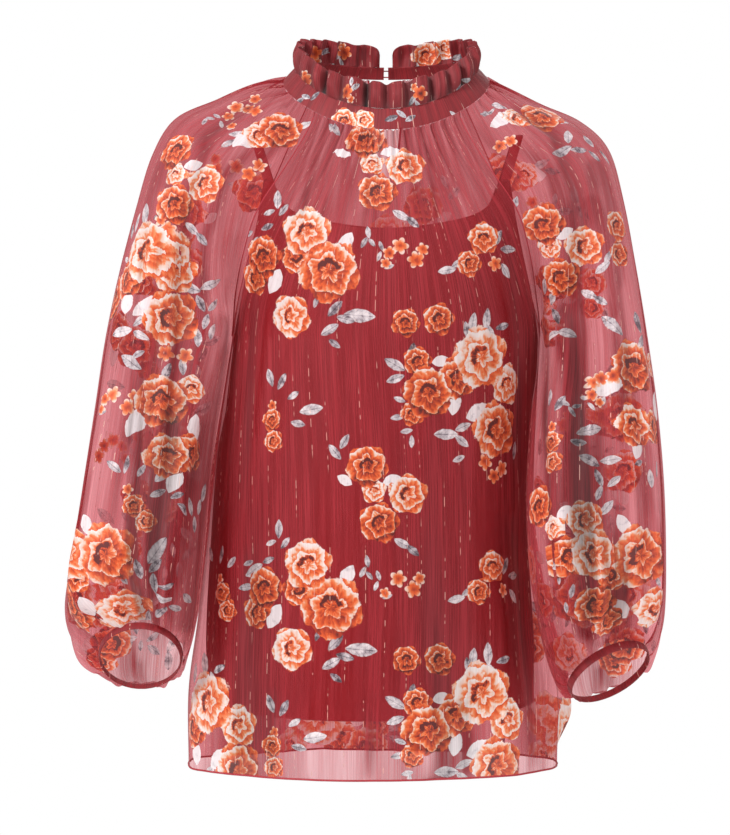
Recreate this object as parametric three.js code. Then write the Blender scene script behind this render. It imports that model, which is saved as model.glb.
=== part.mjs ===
// A woman's blouse with a ruffled stand collar, gathered raglan balloon sleeves and a camisole lining, filled
// out as it is worn. Millimetres, +Z up, the front faces -Y, and +X is on the right of the front view. The
// origin is the middle of the neck opening, level with the shoulders.
import * as THREE from "three";

// Driving sizes
const WALL = 1.2;
const SEAM = 0.2;
const NECK = { half: 98, front: 70, back: 64, midY: -2, sideZ: 4, tilt: 31, dip: 21 };
const BAND = { height: 15.5, frontExtra: 4, backLess: 4.5, narrowX: 12, narrowY: 5, wall: 1.4, endAngle: 1.3 };
const RUFFLE = {
  height: 25,
  backLess: 3.5,
  flare: -4,
  waves: 25,
  footWave: 1.4,
  crestWave: 3.8,
  wall: 1.4,
  endAngle: 4.2,
  corner: 11,
};
const CUFF = { height: 8, wall: 1.6, narrow: 1.2, seat: 0.4 };
const KEYHOLE = { half: 17, bottomRow: 2.8 };
const LINING = { sideRise: 9, hem: 590, strapTop: 92, underarm: 246, frontScoop: 141, backScoop: 136 };
const STRAP_AT = 0.66;
const STRAP_TAB = 0.045;
const STRAP = { width: 9, top: 46, bow: 14 };
const BUTTON = { radius: 4.5, head: 2.6, shank: 1.4, stem: 2.9, x: 7, seat: 0.6 };
const LOOP = { radius: 0.6, start: 3, rise: 3, lift: 2.4 };
const GATHERS = { body: 12, bodyDepth: 1.8, sleeve: 8, sleeveDepth: 1.8, cuff: 12, cuffDepth: 3 };

// Where the raglan seams meet the neck, in degrees from the centre front
const RAGLAN_FRONT = 44;
const RAGLAN_BACK = 138;

// Rows are numbered down from the neck: 6 is the underarm, 12 the body's hem, and 14 the sleeve's cuff.
const UNDERARM = 6;
const BODY_HEM = 12;
const CUFF_ROW = 14;

// A table whose rows are given as plain numbers, in the order of the column names
function table(names, rows) {
  const columns = names.split(" ");
  return rows.map((row) => Object.fromEntries(columns.map((name, i) => [name, row[i]])));
}

// A sleeve's top line, and its foot: the middle of its two raglan edges, and below the underarm its inner line.
// arc is the half angle that a section spans, depth its half depth, and tilt how far its back lies below its
// front.
const SLEEVE_COLUMNS = "row topX topY topZ footX footY footZ depth arc tilt";
const SLEEVES = {
  left: table(SLEEVE_COLUMNS, [
    [0, 98, -2, 4, 62, -3, -16, 62, 56, -26],
    [1, 125, 0, 3, 84, -3, -49, 78, 68, -17],
    [2, 160, 1, -12, 104, -3, -84, 88, 84, -10],
    [3, 200, 2, -30, 121, -2, -118, 88, 105, -6],
    [4, 222, 2, -64, 133, 0, -158, 86, 129, -3],
    [5, 238, 1, -114, 142, 2, -198, 83, 154, -1],
    [6, 254, -2, -174, 147, 3, -236, 80, 180, 0],
    [7, 267, -8, -238, 155, -16, -280, 78, 180, 2],
    [8, 276, -16, -302, 162, -38, -326, 78, 180, 5],
    [9, 286, -26, -372, 167, -58, -384, 80, 180, 10],
    [10, 295, -38, -438, 171, -70, -444, 81, 180, 18],
    [11, 301, -50, -486, 175, -76, -490, 77, 180, 30],
    [12, 294, -62, -512, 180, -80, -516, 66, 180, 42],
    [13, 278, -70, -526, 185, -80, -530, 50, 180, 52],
    [14, 266, -74, -532, 188, -78, -531, 37, 180, 56],
  ]),
  right: table(SLEEVE_COLUMNS, [
    [0, 98, -2, 4, 62, -3, -16, 62, 56, -26],
    [1, 115, 0, -2, 84, -3, -49, 78, 68, -17],
    [2, 147, 1, -17, 104, -3, -84, 88, 84, -10],
    [3, 184, 2, -33, 121, -2, -118, 88, 105, -6],
    [4, 211, 2, -60, 132, 0, -158, 86, 129, -3],
    [5, 226, 1, -110, 140, 2, -198, 83, 154, -1],
    [6, 238, -2, -172, 146, 3, -236, 80, 180, 0],
    [7, 248, -10, -238, 142, -34, -282, 76, 180, 2],
    [8, 256, -20, -302, 133, -62, -328, 74, 180, 4],
    [9, 261, -32, -372, 128, -82, -386, 73, 180, 8],
    [10, 262, -42, -440, 130, -92, -450, 74, 180, 14],
    [11, 260, -48, -494, 139, -92, -504, 71, 180, 24],
    [12, 253, -54, -520, 149, -87, -540, 61, 180, 34],
    [13, 246, -60, -530, 158, -80, -556, 47, 180, 41],
    [14, 241, -66, -532, 166, -74, -560, 35, 180, 44],
  ]),
};

// The centre front and centre back lines of the body
const MIDDLE = [
  { row: 0, frontY: -72, frontZ: -48, backY: 62, backZ: 14 },
  { row: 1, frontY: -88, frontZ: -74, backY: 76, backZ: -18 },
  { row: 2, frontY: -99, frontZ: -102, backY: 87, backZ: -54 },
  { row: 3, frontY: -107, frontZ: -132, backY: 95, backZ: -92 },
  { row: 4, frontY: -113, frontZ: -164, backY: 100, backZ: -134 },
  { row: 5, frontY: -117, frontZ: -200, backY: 102, backZ: -180 },
  { row: 6, frontY: -119, frontZ: -240, backY: 102, backZ: -230 },
  { row: 8, frontY: -121, frontZ: -362, backY: 100, backZ: -362 },
  { row: 10, frontY: -124, frontZ: -502, backY: 104, backZ: -502 },
  { row: 12, frontY: -129, frontZ: -642, backY: 112, backZ: -643 },
];

// The side seams below the underarm. sway moves the body sideways.
const SIDE_SEAMS = [
  { row: 6, half: 146, z: -236, sway: 0 },
  { row: 7, half: 149, z: -292, sway: -6 },
  { row: 8, half: 153, z: -362, sway: -13 },
  { row: 9, half: 156, z: -432, sway: -16 },
  { row: 10, half: 163, z: -502, sway: -16 },
  { row: 11, half: 175, z: -572, sway: -13 },
  { row: 12, half: 175, z: -642, sway: -13 },
];

// The camisole's sections, by how far they lie below the origin. Its side seams are caught in the body's side
// seams just below the underarm.
const CAMISOLE = [
  { drop: 80, half: 128, front: -86, back: 76, sway: 0 },
  { drop: 150, half: 134, front: -102, back: 88, sway: 0 },
  { drop: 210, half: 140.4, front: -109, back: 93, sway: 0 },
  { drop: 246, half: 144.4, front: -111, back: 94, sway: -1 },
  { drop: 270, half: 145.5, front: -112, back: 94, sway: -3 },
  { drop: 310, half: 145, front: -112, back: 92, sway: -8 },
  { drop: 362, half: 145, front: -112, back: 92, sway: -13 },
  { drop: 432, half: 147, front: -113, back: 93, sway: -16 },
  { drop: 502, half: 151, front: -114, back: 95, sway: -16 },
  { drop: 600, half: 155, front: -117, back: 99, sway: -14 },
];

// The soft folds that hang from the chest: where each lies across its panel, its half width there, its depth
// near the bottom, and the share of the depth that is left at the hem
const FRONT_FOLDS = [
  { at: -0.78, width: 0.1, depth: 5, hem: 1 },
  { at: -0.46, width: 0.09, depth: -3, hem: 1 },
  { at: -0.12, width: 0.1, depth: 3, hem: 1 },
  { at: 0.24, width: 0.08, depth: -3, hem: 1 },
  { at: 0.52, width: 0.09, depth: 4, hem: 1 },
  { at: 0.8, width: 0.09, depth: 5, hem: 0.6 },
];
const BACK_FOLDS = [
  { at: -0.8, width: 0.1, depth: 6, hem: 1 },
  { at: -0.5, width: 0.1, depth: -4, hem: 1 },
  { at: -0.2, width: 0.09, depth: 6, hem: 1 },
  { at: 0.14, width: 0.1, depth: -4, hem: 1 },
  { at: 0.44, width: 0.1, depth: 7, hem: 1 },
  { at: 0.84, width: 0.1, depth: 30, hem: 0.1 },
];

// The long folds of a sleeve, as places round its section: 0 is the top line, and -1 and 1 the underarm seam.
const SLEEVE_FOLDS = [
  { at: -0.72, width: 0.07, depth: 6 },
  { at: -0.48, width: 0.06, depth: -8 },
  { at: -0.27, width: 0.06, depth: 7 },
  { at: -0.06, width: 0.05, depth: -5 },
  { at: 0.2, width: 0.08, depth: 6 },
  { at: 0.5, width: 0.08, depth: -7 },
  { at: 0.76, width: 0.06, depth: 4 },
];

// How finely the sheets are divided. The rows near a gathered edge have twice the columns.
const COLUMNS = { body: 24, sleeve: 24, ruffle: 104, band: 60, cuff: 40 };
const UPPER_ROWS = [0, 0.35, 0.8, 1.4, 2, 2.8, 3.6, 4.4, 5.2, 6];
const BODY_ROWS = [...UPPER_ROWS, 7, 8, 9, 10, 11, 11.4, 12];
const SLEEVE_ROWS = [...UPPER_ROWS, 7, 8, 9, 10, 11, 12, 12.8, 13.4, 14];
const FINE_ABOVE = 1.4;
const FINE_BELOW = 12.8;
const LINING_ROWS = 9;
const TAB_EDGES = [STRAP_AT - STRAP_TAB, STRAP_AT + STRAP_TAB];
const LINING_PLACES = [0, 0.12, 0.24, 0.36, 0.47, 0.56, ...TAB_EDGES, 0.79, 0.87, 0.94, 1];
const STRAP_STEPS = 12;

const { degToRad, lerp, clamp, smoothstep } = THREE.MathUtils;
const { sin, cos, abs, sign, sqrt, PI } = Math;
const vector = (x, y, z) => new THREE.Vector3(x, y, z);
const steps = (count, low = -1, high = 1) =>
  Array.from({ length: count + 1 }, (_, i) => lerp(low, high, i / count));

// A smooth curve through one column of a table, in order of another
function along(table, column, at, key = "row") {
  const last = table.length - 2;
  const next = table.findIndex((entry) => entry[key] > at);
  const k = next < 0 ? last : clamp(next - 1, 0, last);
  const slope = (a, b) => (table[b][column] - table[a][column]) / (table[b][key] - table[a][key]);
  const here = slope(k, k + 1);
  const before = k > 0 ? (slope(k - 1, k) + here) / 2 : here;
  const after = k < last ? (slope(k + 1, k + 2) + here) / 2 : here;
  const span = table[k + 1][key] - table[k][key];
  const t = (at - table[k][key]) / span;
  const even = lerp(table[k][column], table[k + 1][column], t);
  return even + span * t * (1 - t) * ((before - here) * (1 - t) + (here - after) * t);
}

// Ridges and troughs from a table of folds. fading runs from 0 to 1 over the last stretch before the hem.
const foldDepth = (folds, place, fading = 0) =>
  folds.reduce((sum, { at, width, depth, hem = 1 }) => {
    const share = lerp(1, hem, fading);
    return sum + share * depth * Math.exp(-(((place - at) / width) ** 2));
  }, 0);

// Uneven gathers: a wave whose height changes along it
function gatherDepth(place, count, depth) {
  const turn = PI * count * (place + 1);
  return depth * cos(turn + 0.5 * sin(turn / 3.1)) * (0.8 + 0.2 * sin(turn / 2.3 + 1));
}

// The body's neck seam, at an angle in degrees from the centre front
function neckPoint(angle) {
  const a = degToRad(angle);
  const depth = cos(a) > 0 ? NECK.front : NECK.back;
  return vector(
    NECK.half * sin(a),
    NECK.midY - depth * cos(a),
    NECK.sideZ - NECK.tilt * cos(a) - NECK.dip * cos(a) ** 2,
  );
}

// The level direction away from the neck, at that angle
function neckOut(angle) {
  const a = degToRad(angle);
  return vector(NECK.front * sin(a), -NECK.half * cos(a), 0).normalize();
}

const sides = { left: -1, right: 1 };

// A sleeve's own form: s runs from -1 at the front seam, over the top line, to 1 at the back seam.
function sleeveForm(side, row, s) {
  const get = (column) => along(SLEEVES[side], column, row);
  const arc = degToRad(row >= UNDERARM ? 180 : get("arc"));
  const tilt = degToRad(get("tilt"));
  const lift = (cos(s * arc) - cos(arc)) / (1 - cos(arc));
  const across = get("depth") * sin(s * arc);
  return vector(
    sides[side] * lerp(get("footX"), get("topX"), lift),
    lerp(get("footY"), get("topY"), lift) + across * cos(tilt),
    lerp(get("footZ"), get("topZ"), lift) - across * sin(tilt),
  );
}

// Every piece leaves the neck seam and has turned into its own form by row 2.
const fromNeck = (row) => sin((PI / 4) * Math.min(row, 2));

function sleevePoint(side, row, s) {
  const form = sleeveForm(side, row, s);
  const angle = lerp(RAGLAN_FRONT, RAGLAN_BACK, (s + 1) / 2);
  return row >= 2 ? form : neckPoint(sides[side] * angle).lerp(form, fromNeck(row));
}

const frontAngle = (u) => RAGLAN_FRONT * u;
const backAngle = (u) => 180 - (180 - RAGLAN_BACK) * u;

// The front and back panels: u runs from -1 at the left edge to 1 at the right edge.
function bodyPoint(face, row, u) {
  const isFront = face === "front";
  const side = u < 0 ? "left" : "right";
  const below = (column) => along(SIDE_SEAMS, column, row);
  const sway = row > UNDERARM ? below("sway") : 0;
  const middle = vector(sway, along(MIDDLE, face + "Y", row), along(MIDDLE, face + "Z", row));
  const edge =
    row < UNDERARM
      ? sleeveForm(side, row, isFront ? -1 : 1)
      : vector(sides[side] * below("half") + sway, SLEEVES.left[UNDERARM].footY, below("z"));
  const neckArc = isFront ? RAGLAN_FRONT : 180 - RAGLAN_BACK;
  const arc = degToRad(lerp(neckArc, 90, smoothstep(row, 0, UNDERARM)));
  const away = (1 - cos(arc * u)) / (1 - cos(arc));
  const form = vector(
    lerp(middle.x, edge.x, sin(arc * abs(u)) / sin(arc)),
    lerp(middle.y, edge.y, away),
    lerp(middle.z, edge.z, away),
  );
  const angle = isFront ? frontAngle(u) : backAngle(u);
  return row >= 2 ? form : neckPoint(angle).lerp(form, fromNeck(row));
}

// The normal of a surface, found from points close by
function normalOf(surface, row, place, lowRow, highRow) {
  const step = 0.01;
  const above = surface(Math.max(row - step, lowRow), place);
  const down = surface(Math.min(row + step, highRow), place).sub(above);
  const across = surface(row, Math.min(place + step, 1)).sub(surface(row, Math.max(place - step, -1)));
  return across.cross(down).normalize();
}

function bodyNormal(face, row, u) {
  const normal = normalOf((r, v) => bodyPoint(face, r, v), row, u, row < UNDERARM ? 0 : UNDERARM, BODY_HEM);
  return normal.multiplyScalar(face === "front" ? -1 : 1);
}

function sleeveNormal(side, row, s) {
  const normal = normalOf((r, v) => sleevePoint(side, r, v), row, s, row < UNDERARM ? 0 : UNDERARM, CUFF_ROW);
  return normal.multiplyScalar(-sides[side]);
}

// At a raglan seam, the direction that parts the body panel from the sleeve, towards the panel
function partingAt(face, side, row) {
  const end = face === "front" ? -1 : 1;
  const seam = sleevePoint(side, row, end);
  const toBody = bodyPoint(face, row, sides[side] * 0.96).sub(seam).normalize();
  const toSleeve = sleevePoint(side, row, end * 0.96).sub(seam).normalize();
  return toBody.sub(toSleeve).normalize();
}

// Keeps the thickness of a piece on its own side of a seam
function trimNormal(normal, intoPiece) {
  const across = Math.max(0, normal.dot(intoPiece));
  return normal.addScaledVector(intoPiece, -across).normalize();
}

// A sheet of cloth: pairs of an outer and an inner point, and the triangles between them
class Sheet {
  constructor(wall = WALL) {
    this.wall = wall;
    this.pairs = [];
    this.faces = [];
  }

  point(outer, normal) {
    const inner = outer.clone().addScaledVector(normal, -this.wall);
    return this.pairs.push({ outer, inner }) - 1;
  }

  // Fills between two rows of points. One row may have twice the steps of the other.
  strip(upper, lower) {
    const flip = upper.length < lower.length;
    const [fine, coarse] = flip ? [lower, upper] : [upper, lower];
    const face = (a, b, c) => this.faces.push(flip ? [a, c, b] : [a, b, c]);
    coarse.slice(1).forEach((right, i) => {
      const left = coarse[i];
      if (fine.length === coarse.length) {
        face(fine[i], fine[i + 1], right);
        face(fine[i], right, left);
      } else {
        face(fine[2 * i], fine[2 * i + 1], left);
        face(fine[2 * i + 1], right, left);
        face(fine[2 * i + 1], fine[2 * i + 2], right);
      }
    });
  }

  fill(rows) {
    rows.slice(1).forEach((row, j) => this.strip(rows[j], row));
    return this;
  }

  // The closed wall: both faces of the cloth, and a narrow face along every free edge
  geometry() {
    const free = new Map();
    const corners = [];
    const key = (a, b) => a + "," + b;
    this.faces.forEach(([a, b, c]) => {
      corners.push(...[a, b, c].map((i) => this.pairs[i].outer));
      corners.push(...[a, c, b].map((i) => this.pairs[i].inner));
      [[a, b], [b, c], [c, a]].forEach(([p, q]) => {
        if (!free.delete(key(q, p))) free.set(key(p, q), [this.pairs[p], this.pairs[q]]);
      });
    });
    free.forEach(([p, q]) => {
      corners.push(q.outer, p.outer, p.inner);
      corners.push(q.outer, p.inner, q.inner);
    });
    return facingOut(corners);
  }
}

// A geometry from triangles' corners, turned so that its faces point out
function facingOut(corners) {
  let volume = 0;
  for (let i = 0; i < corners.length; i += 3) {
    volume += corners[i].dot(corners[i + 1].clone().cross(corners[i + 2]));
  }
  return new THREE.BufferGeometry().setFromPoints(volume < 0 ? corners.reverse() : corners);
}

// How far a body panel stands out in gathers and folds, with none at its side edges
function bodyRelief(face, row, u) {
  const table = face === "front" ? FRONT_FOLDS : BACK_FOLDS;
  const folds = foldDepth(table, u, smoothstep(row, 11.3, BODY_HEM)) * smoothstep(row, 7, 11.4);
  const gathers = gatherDepth(u, GATHERS.body, GATHERS.bodyDepth) * (1 - smoothstep(row, 0.3, 4.4));
  return (1 - u ** 8) * (folds + gathers);
}

// One point of a body panel. opening moves it aside for the keyhole.
function bodyVertex(sheet, face, row, u, opening = 0) {
  const isFront = face === "front";
  const place = bodyPoint(face, row, u);
  const normal = row === 0 ? neckOut(isFront ? frontAngle(u) : backAngle(u)) : bodyNormal(face, row, u);
  place.addScaledVector(normal, bodyRelief(face, row, u));
  place.x += opening;
  if (row === 0) place.z -= SEAM;
  if (abs(u) === 1 && row < UNDERARM) {
    const apart = partingAt(face, u < 0 ? "left" : "right", row);
    place.addScaledVector(apart, SEAM);
    trimNormal(normal, apart);
  } else if (abs(u) === 1) {
    normal.set(u, 0, row === UNDERARM ? -1 : 0).normalize();
    place.x -= row === UNDERARM ? 3 * SEAM * u : 0;
    place.y += isFront ? -SEAM : SEAM;
  }
  return sheet.point(place, normal);
}

const bodySteps = (row) => COLUMNS.body * (row <= FINE_ABOVE ? 2 : 1);

function frontBody() {
  const sheet = new Sheet();
  const vertices = (row) => steps(bodySteps(row)).map((u) => bodyVertex(sheet, "front", row, u));
  return sheet.fill(BODY_ROWS.map(vertices));
}

// The keyhole's half width at a row of the back panel
const keyholeHalf = (row) => KEYHOLE.half * sqrt(Math.max(0, 1 - (row / KEYHOLE.bottomRow) ** 2));

// The back has a keyhole at its middle, which opens from the neck band. Below it the halves share their middle.
function backBody() {
  const sheet = new Sheet();
  const rows = BODY_ROWS.map((row) => {
    const opening = (u) => sign(u) * keyholeHalf(row) * (1 - abs(u)) ** 2;
    const count = bodySteps(row) / 2;
    const outward = (side) =>
      steps(count, 0, side).slice(1).map((u) => bodyVertex(sheet, "back", row, u, opening(u)));
    const middle = (side) => bodyVertex(sheet, "back", row, 0, side * keyholeHalf(row));
    const leftMiddle = middle(-1);
    const rightMiddle = row < KEYHOLE.bottomRow ? middle(1) : leftMiddle;
    return {
      left: [leftMiddle, ...outward(-1)].reverse(),
      right: [rightMiddle, ...outward(1)],
    };
  });
  return sheet.fill(rows.map((row) => row.left)).fill(rows.map((row) => row.right));
}

function sleeveRelief(row, s) {
  const fading = 1 - 0.6 * smoothstep(row, 11.5, CUFF_ROW);
  const folds = foldDepth(SLEEVE_FOLDS, s) * smoothstep(row, 3, 9) * fading;
  const head = gatherDepth(s, GATHERS.sleeve, GATHERS.sleeveDepth) * (1 - smoothstep(row, 0.3, 3.6));
  const wrist = gatherDepth(s, GATHERS.cuff, GATHERS.cuffDepth) * smoothstep(row, 11.5, 13.4);
  return (1 - s ** 8) * (folds + head) + wrist * (1 - 0.5 * smoothstep(row, 13.4, CUFF_ROW));
}

const cuffMiddle = (side) =>
  sleeveForm(side, CUFF_ROW, -0.5).add(sleeveForm(side, CUFF_ROW, 0.5)).multiplyScalar(0.5);

// The direction in which the arm leaves the cuff
function cuffAxis(side) {
  const middle = cuffMiddle(side);
  const top = sleeveForm(side, CUFF_ROW, 0).sub(middle);
  const back = sleeveForm(side, CUFF_ROW, 0.5).sub(middle);
  const axis = top.cross(back).normalize();
  return axis.z > 0 ? axis.negate() : axis;
}

// The direction away from the cuff's middle, square to its edge
function cuffOut(side, s) {
  const step = 0.01;
  const edge = sleeveForm(side, CUFF_ROW, s + step).sub(sleeveForm(side, CUFF_ROW, s - step));
  const out = edge.cross(cuffAxis(side)).normalize();
  const fromMiddle = sleeveForm(side, CUFF_ROW, s).sub(cuffMiddle(side));
  return out.dot(fromMiddle) < 0 ? out.negate() : out;
}

function sleeveVertex(sheet, side, row, s) {
  const place = sleevePoint(side, row, s);
  const angle = sides[side] * lerp(RAGLAN_FRONT, RAGLAN_BACK, (s + 1) / 2);
  const ownNormal = () => (row === CUFF_ROW ? cuffOut(side, s) : sleeveNormal(side, row, s));
  const normal = row === 0 ? neckOut(angle) : ownNormal();
  place.addScaledVector(normal, sleeveRelief(row, s));
  if (row === 0) place.z -= SEAM;
  if (abs(s) === 1 && row < UNDERARM) {
    const apart = partingAt(s < 0 ? "front" : "back", side, row).negate();
    place.addScaledVector(apart, SEAM);
    trimNormal(normal, apart);
  } else if (abs(s) === 1 && row === UNDERARM) {
    normal.set(-sides[side], 0, -1).normalize();
    place.x += sides[side] * 3 * SEAM;
  }
  return sheet.point(place, normal);
}

// Above the underarm a sleeve is open between its raglan edges, and below it each row closes into a ring.
function sleeve(side) {
  const sheet = new Sheet();
  const rows = SLEEVE_ROWS.map((row) => {
    const count = COLUMNS.sleeve * (row <= FINE_ABOVE || row >= FINE_BELOW ? 2 : 1);
    const places = steps(count);
    if (row < UNDERARM) return places.map((s) => sleeveVertex(sheet, side, row, s));
    const ring = places.slice(0, -1).map((s) => sleeveVertex(sheet, side, row, s));
    return [...ring, ring[0]];
  });
  return sheet.fill(rows);
}

// A narrow band that holds the sleeve's gathered end
function cuff(side) {
  const sheet = new Sheet(CUFF.wall);
  const axis = cuffAxis(side);
  const rows = steps(2, 0, 1).map((t) => {
    const ring = steps(COLUMNS.cuff).slice(0, -1).map((s) => {
      const normal = cuffOut(side, s);
      const place = sleeveForm(side, CUFF_ROW, s).addScaledVector(axis, CUFF.seat + CUFF.height * t);
      return sheet.point(place.addScaledVector(normal, -CUFF.narrow * t), normal);
    });
    return [...ring, ring[0]];
  });
  return sheet.fill(rows);
}

// The stand collar's face: t runs from the neck seam up to the ruffle's seam.
// 0 at the centre front, and 1 at the centre back, where the collar is lower
const towardsBack = (angle) => (1 - cos(degToRad(angle))) / 2;

function bandPoint(angle, t) {
  const a = degToRad(angle);
  const place = neckPoint(angle);
  place.x -= BAND.narrowX * t * sin(a);
  place.y += BAND.narrowY * t * cos(a);
  const height = BAND.height + BAND.frontExtra * Math.max(0, cos(a)) ** 2 - BAND.backLess * towardsBack(angle);
  place.z += SEAM + height * t;
  return place;
}

function neckBand() {
  const sheet = new Sheet(BAND.wall);
  const reach = 180 - BAND.endAngle;
  return sheet.fill(
    steps(2, 1, 0).map((t) =>
      steps(COLUMNS.band, -reach, reach).map((angle) => sheet.point(bandPoint(angle, t), neckOut(angle))),
    ),
  );
}

// The ruffle stands on the band in uneven waves that grow towards its edge. Its ends are rounded off at the back.
function collarRuffle() {
  const sheet = new Sheet(RUFFLE.wall);
  const reach = 180 - RUFFLE.endAngle;
  const perDegree = degToRad(NECK.half);
  const rows = [1, 0.66, 0.33, 0].map((t) =>
    steps(COLUMNS.ruffle, -reach, reach).map((angle) => {
      const toEnd = (reach - abs(angle)) * perDegree;
      const bend = Math.min(1, toEnd / RUFFLE.corner);
      const fullHeight = RUFFLE.height - RUFFLE.backLess * towardsBack(angle);
      const height = fullHeight * (0.62 + 0.38 * sqrt(1 - (1 - bend) ** 2));
      const wave = lerp(RUFFLE.footWave, RUFFLE.crestWave, t);
      const normal = neckOut(angle);
      const place = bandPoint(angle, 1);
      place.z += 2 * SEAM + height * t + gatherDepth(angle / 180, 9, 0.8 * t * bend);
      place.addScaledVector(normal, RUFFLE.flare * t ** 2 + gatherDepth(angle / 180, RUFFLE.waves, wave));
      return sheet.point(place, normal);
    }),
  );
  return sheet.fill(rows);
}

// The camisole's surface at a place across its face and a depth below the origin
function camisolePoint(face, u, drop) {
  const get = (column) => along(CAMISOLE, column, drop, "drop");
  const middleY = SLEEVES.left[UNDERARM].footY;
  const angle = (PI / 2) * u;
  return vector(
    get("half") * sin(angle) + get("sway"),
    middleY + (get(face) - middleY) * cos(angle),
    -drop,
  );
}

const camisoleHem = (u) => LINING.hem - LINING.sideRise * u ** 2;

// Its top edge: a scoop between the straps, a tab under each strap, and an armhole down to the underarm
function camisoleTop(face, u) {
  const scoop = face === "front" ? LINING.frontScoop : LINING.backScoop;
  const at = abs(u) / (STRAP_AT - STRAP_TAB);
  const past = (abs(u) - STRAP_AT - STRAP_TAB) / (1 - STRAP_AT - STRAP_TAB);
  if (past > 0) return lerp(LINING.strapTop, LINING.underarm, past ** 0.6);
  return at < 1 ? lerp(scoop, LINING.strapTop, 0.5 * at ** 1.6 + 0.5 * at ** 8) : LINING.strapTop;
}

function lining(face) {
  const sheet = new Sheet();
  const isFront = face === "front";
  const places = [...LINING_PLACES.slice(1).reverse().map((u) => -u), ...LINING_PLACES];
  const rows = steps(LINING_ROWS, 0, 1).map((t) =>
    places.map((u) => {
      const drop = lerp(camisoleTop(face, u), camisoleHem(u), t);
      const place = camisolePoint(face, u, drop);
      const normal = vector(sin((PI / 2) * u), cos((PI / 2) * u) * (isFront ? -1 : 1), 0);
      if (abs(u) === 1) place.y += isFront ? -SEAM : SEAM;
      return sheet.point(place, normal);
    }),
  );
  return sheet.fill(rows);
}

// A strap runs from the camisole's front over the shoulder to its back. Its ends stand straight up from the tabs.
function strap(side) {
  const sheet = new Sheet();
  const u = sides[side] * STRAP_AT;
  const ends = ["front", "back"].map((face) => camisolePoint(face, u, camisoleTop(face, u)));
  const route = (t) => {
    const arch = 1 - abs(2 * t - 1) ** 2.4;
    const place = ends[0].clone().lerp(ends[1], t);
    place.x += sides[side] * STRAP.bow * arch;
    place.z += 2 * SEAM + (LINING.strapTop - STRAP.top) * arch;
    return place;
  };
  const rows = steps(STRAP_STEPS, 0, 1).map((t) => {
    const isEnd = t === 0 || t === 1;
    const forward = isEnd ? vector(0, 0, 1 - 2 * t) : route(t + 0.01).sub(route(t - 0.01)).normalize();
    const across = vector(1, 0, 0).projectOnPlane(forward).normalize();
    const normal = across.clone().cross(forward);
    const edgePoint = (edge) => route(t).addScaledVector(across, (edge * STRAP.width) / 2);
    return [-1, 1].map((edge) => sheet.point(edgePoint(edge), normal));
  });
  return sheet.fill(rows);
}

// A small round button on a shank, on the right end of the band, and the thread loop that catches it
const BUTTON_ANGLE = 180 - THREE.MathUtils.radToDeg(BUTTON.x / NECK.half);

function button() {
  const { radius, head, shank, stem } = BUTTON;
  const profile = [[0, 0], [shank, 0], [shank, stem], [radius * 0.86, stem], [radius, stem + 0.8],
    [radius * 0.9, stem + head * 0.7], [0, stem + head]].map(([r, h]) => new THREE.Vector2(r, h));
  const geometry = new THREE.LatheGeometry(profile, 20);
  const place = bandPoint(BUTTON_ANGLE, 0.5);
  const outward = neckOut(BUTTON_ANGLE);
  geometry.applyQuaternion(new THREE.Quaternion().setFromUnitVectors(vector(0, 1, 0), outward));
  place.addScaledVector(outward, BUTTON.seat);
  return geometry.translate(place.x, place.y, place.z);
}

function buttonLoop() {
  const centre = bandPoint(BUTTON_ANGLE, 0.5).addScaledVector(neckOut(BUTTON_ANGLE), LOOP.lift);
  const start = bandPoint(-BUTTON_ANGLE, 0.5);
  const clear = LOOP.radius + BUTTON.shank + 0.3;
  const end = (rise) => vector(start.x + LOOP.start, centre.y, start.z + rise);
  const route = new THREE.CatmullRomCurve3([
    end(LOOP.rise),
    vector(centre.x - 3, centre.y, centre.z + clear + 0.6),
    vector(centre.x + clear * 0.4, centre.y, centre.z + clear),
    vector(centre.x + clear + 0.3, centre.y, centre.z),
    vector(centre.x + clear * 0.4, centre.y, centre.z - clear),
    vector(centre.x - 3, centre.y, centre.z - clear - 0.6),
    end(-LOOP.rise),
  ]);
  const section = new THREE.Shape();
  section.absarc(0, 0, LOOP.radius, 0, 2 * PI);
  return new THREE.ExtrudeGeometry(section, { extrudePath: route, steps: 22, curveSegments: 6 });
}

const FINISH = { roughness: 0.75, metalness: 0, side: THREE.DoubleSide };
const cloth = (color) => new THREE.MeshStandardMaterial({ color, ...FINISH });
const printed = cloth(0x9f3136);
const sheer = cloth(0xb15050);
const opaque = cloth(0x8f2327);
const horn = new THREE.MeshStandardMaterial({ color: 0x7a1a20, roughness: 0.35, metalness: 0 });

function named(name, geometry, material) {
  const mesh = new THREE.Mesh(geometry, material);
  mesh.name = name;
  return mesh;
}

const blouse = new THREE.Group();
blouse.add(
  named("front_body", frontBody().geometry(), printed),
  named("back_body", backBody().geometry(), printed),
  named("neck_band", neckBand().geometry(), printed),
  named("collar_ruffle", collarRuffle().geometry(), printed),
  named("back_button", button(), horn),
  named("button_loop", buttonLoop(), opaque),
);
Object.keys(sides).forEach((side) => {
  blouse.add(
    named("sleeve_" + side, sleeve(side).geometry(), sheer),
    named("cuff_" + side, cuff(side).geometry(), printed),
    named("strap_" + side, strap(side).geometry(), opaque),
  );
});
["front", "back"].forEach((face) => blouse.add(named("lining_" + face, lining(face).geometry(), opaque)));

export default blouse;
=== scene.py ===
import math

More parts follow.
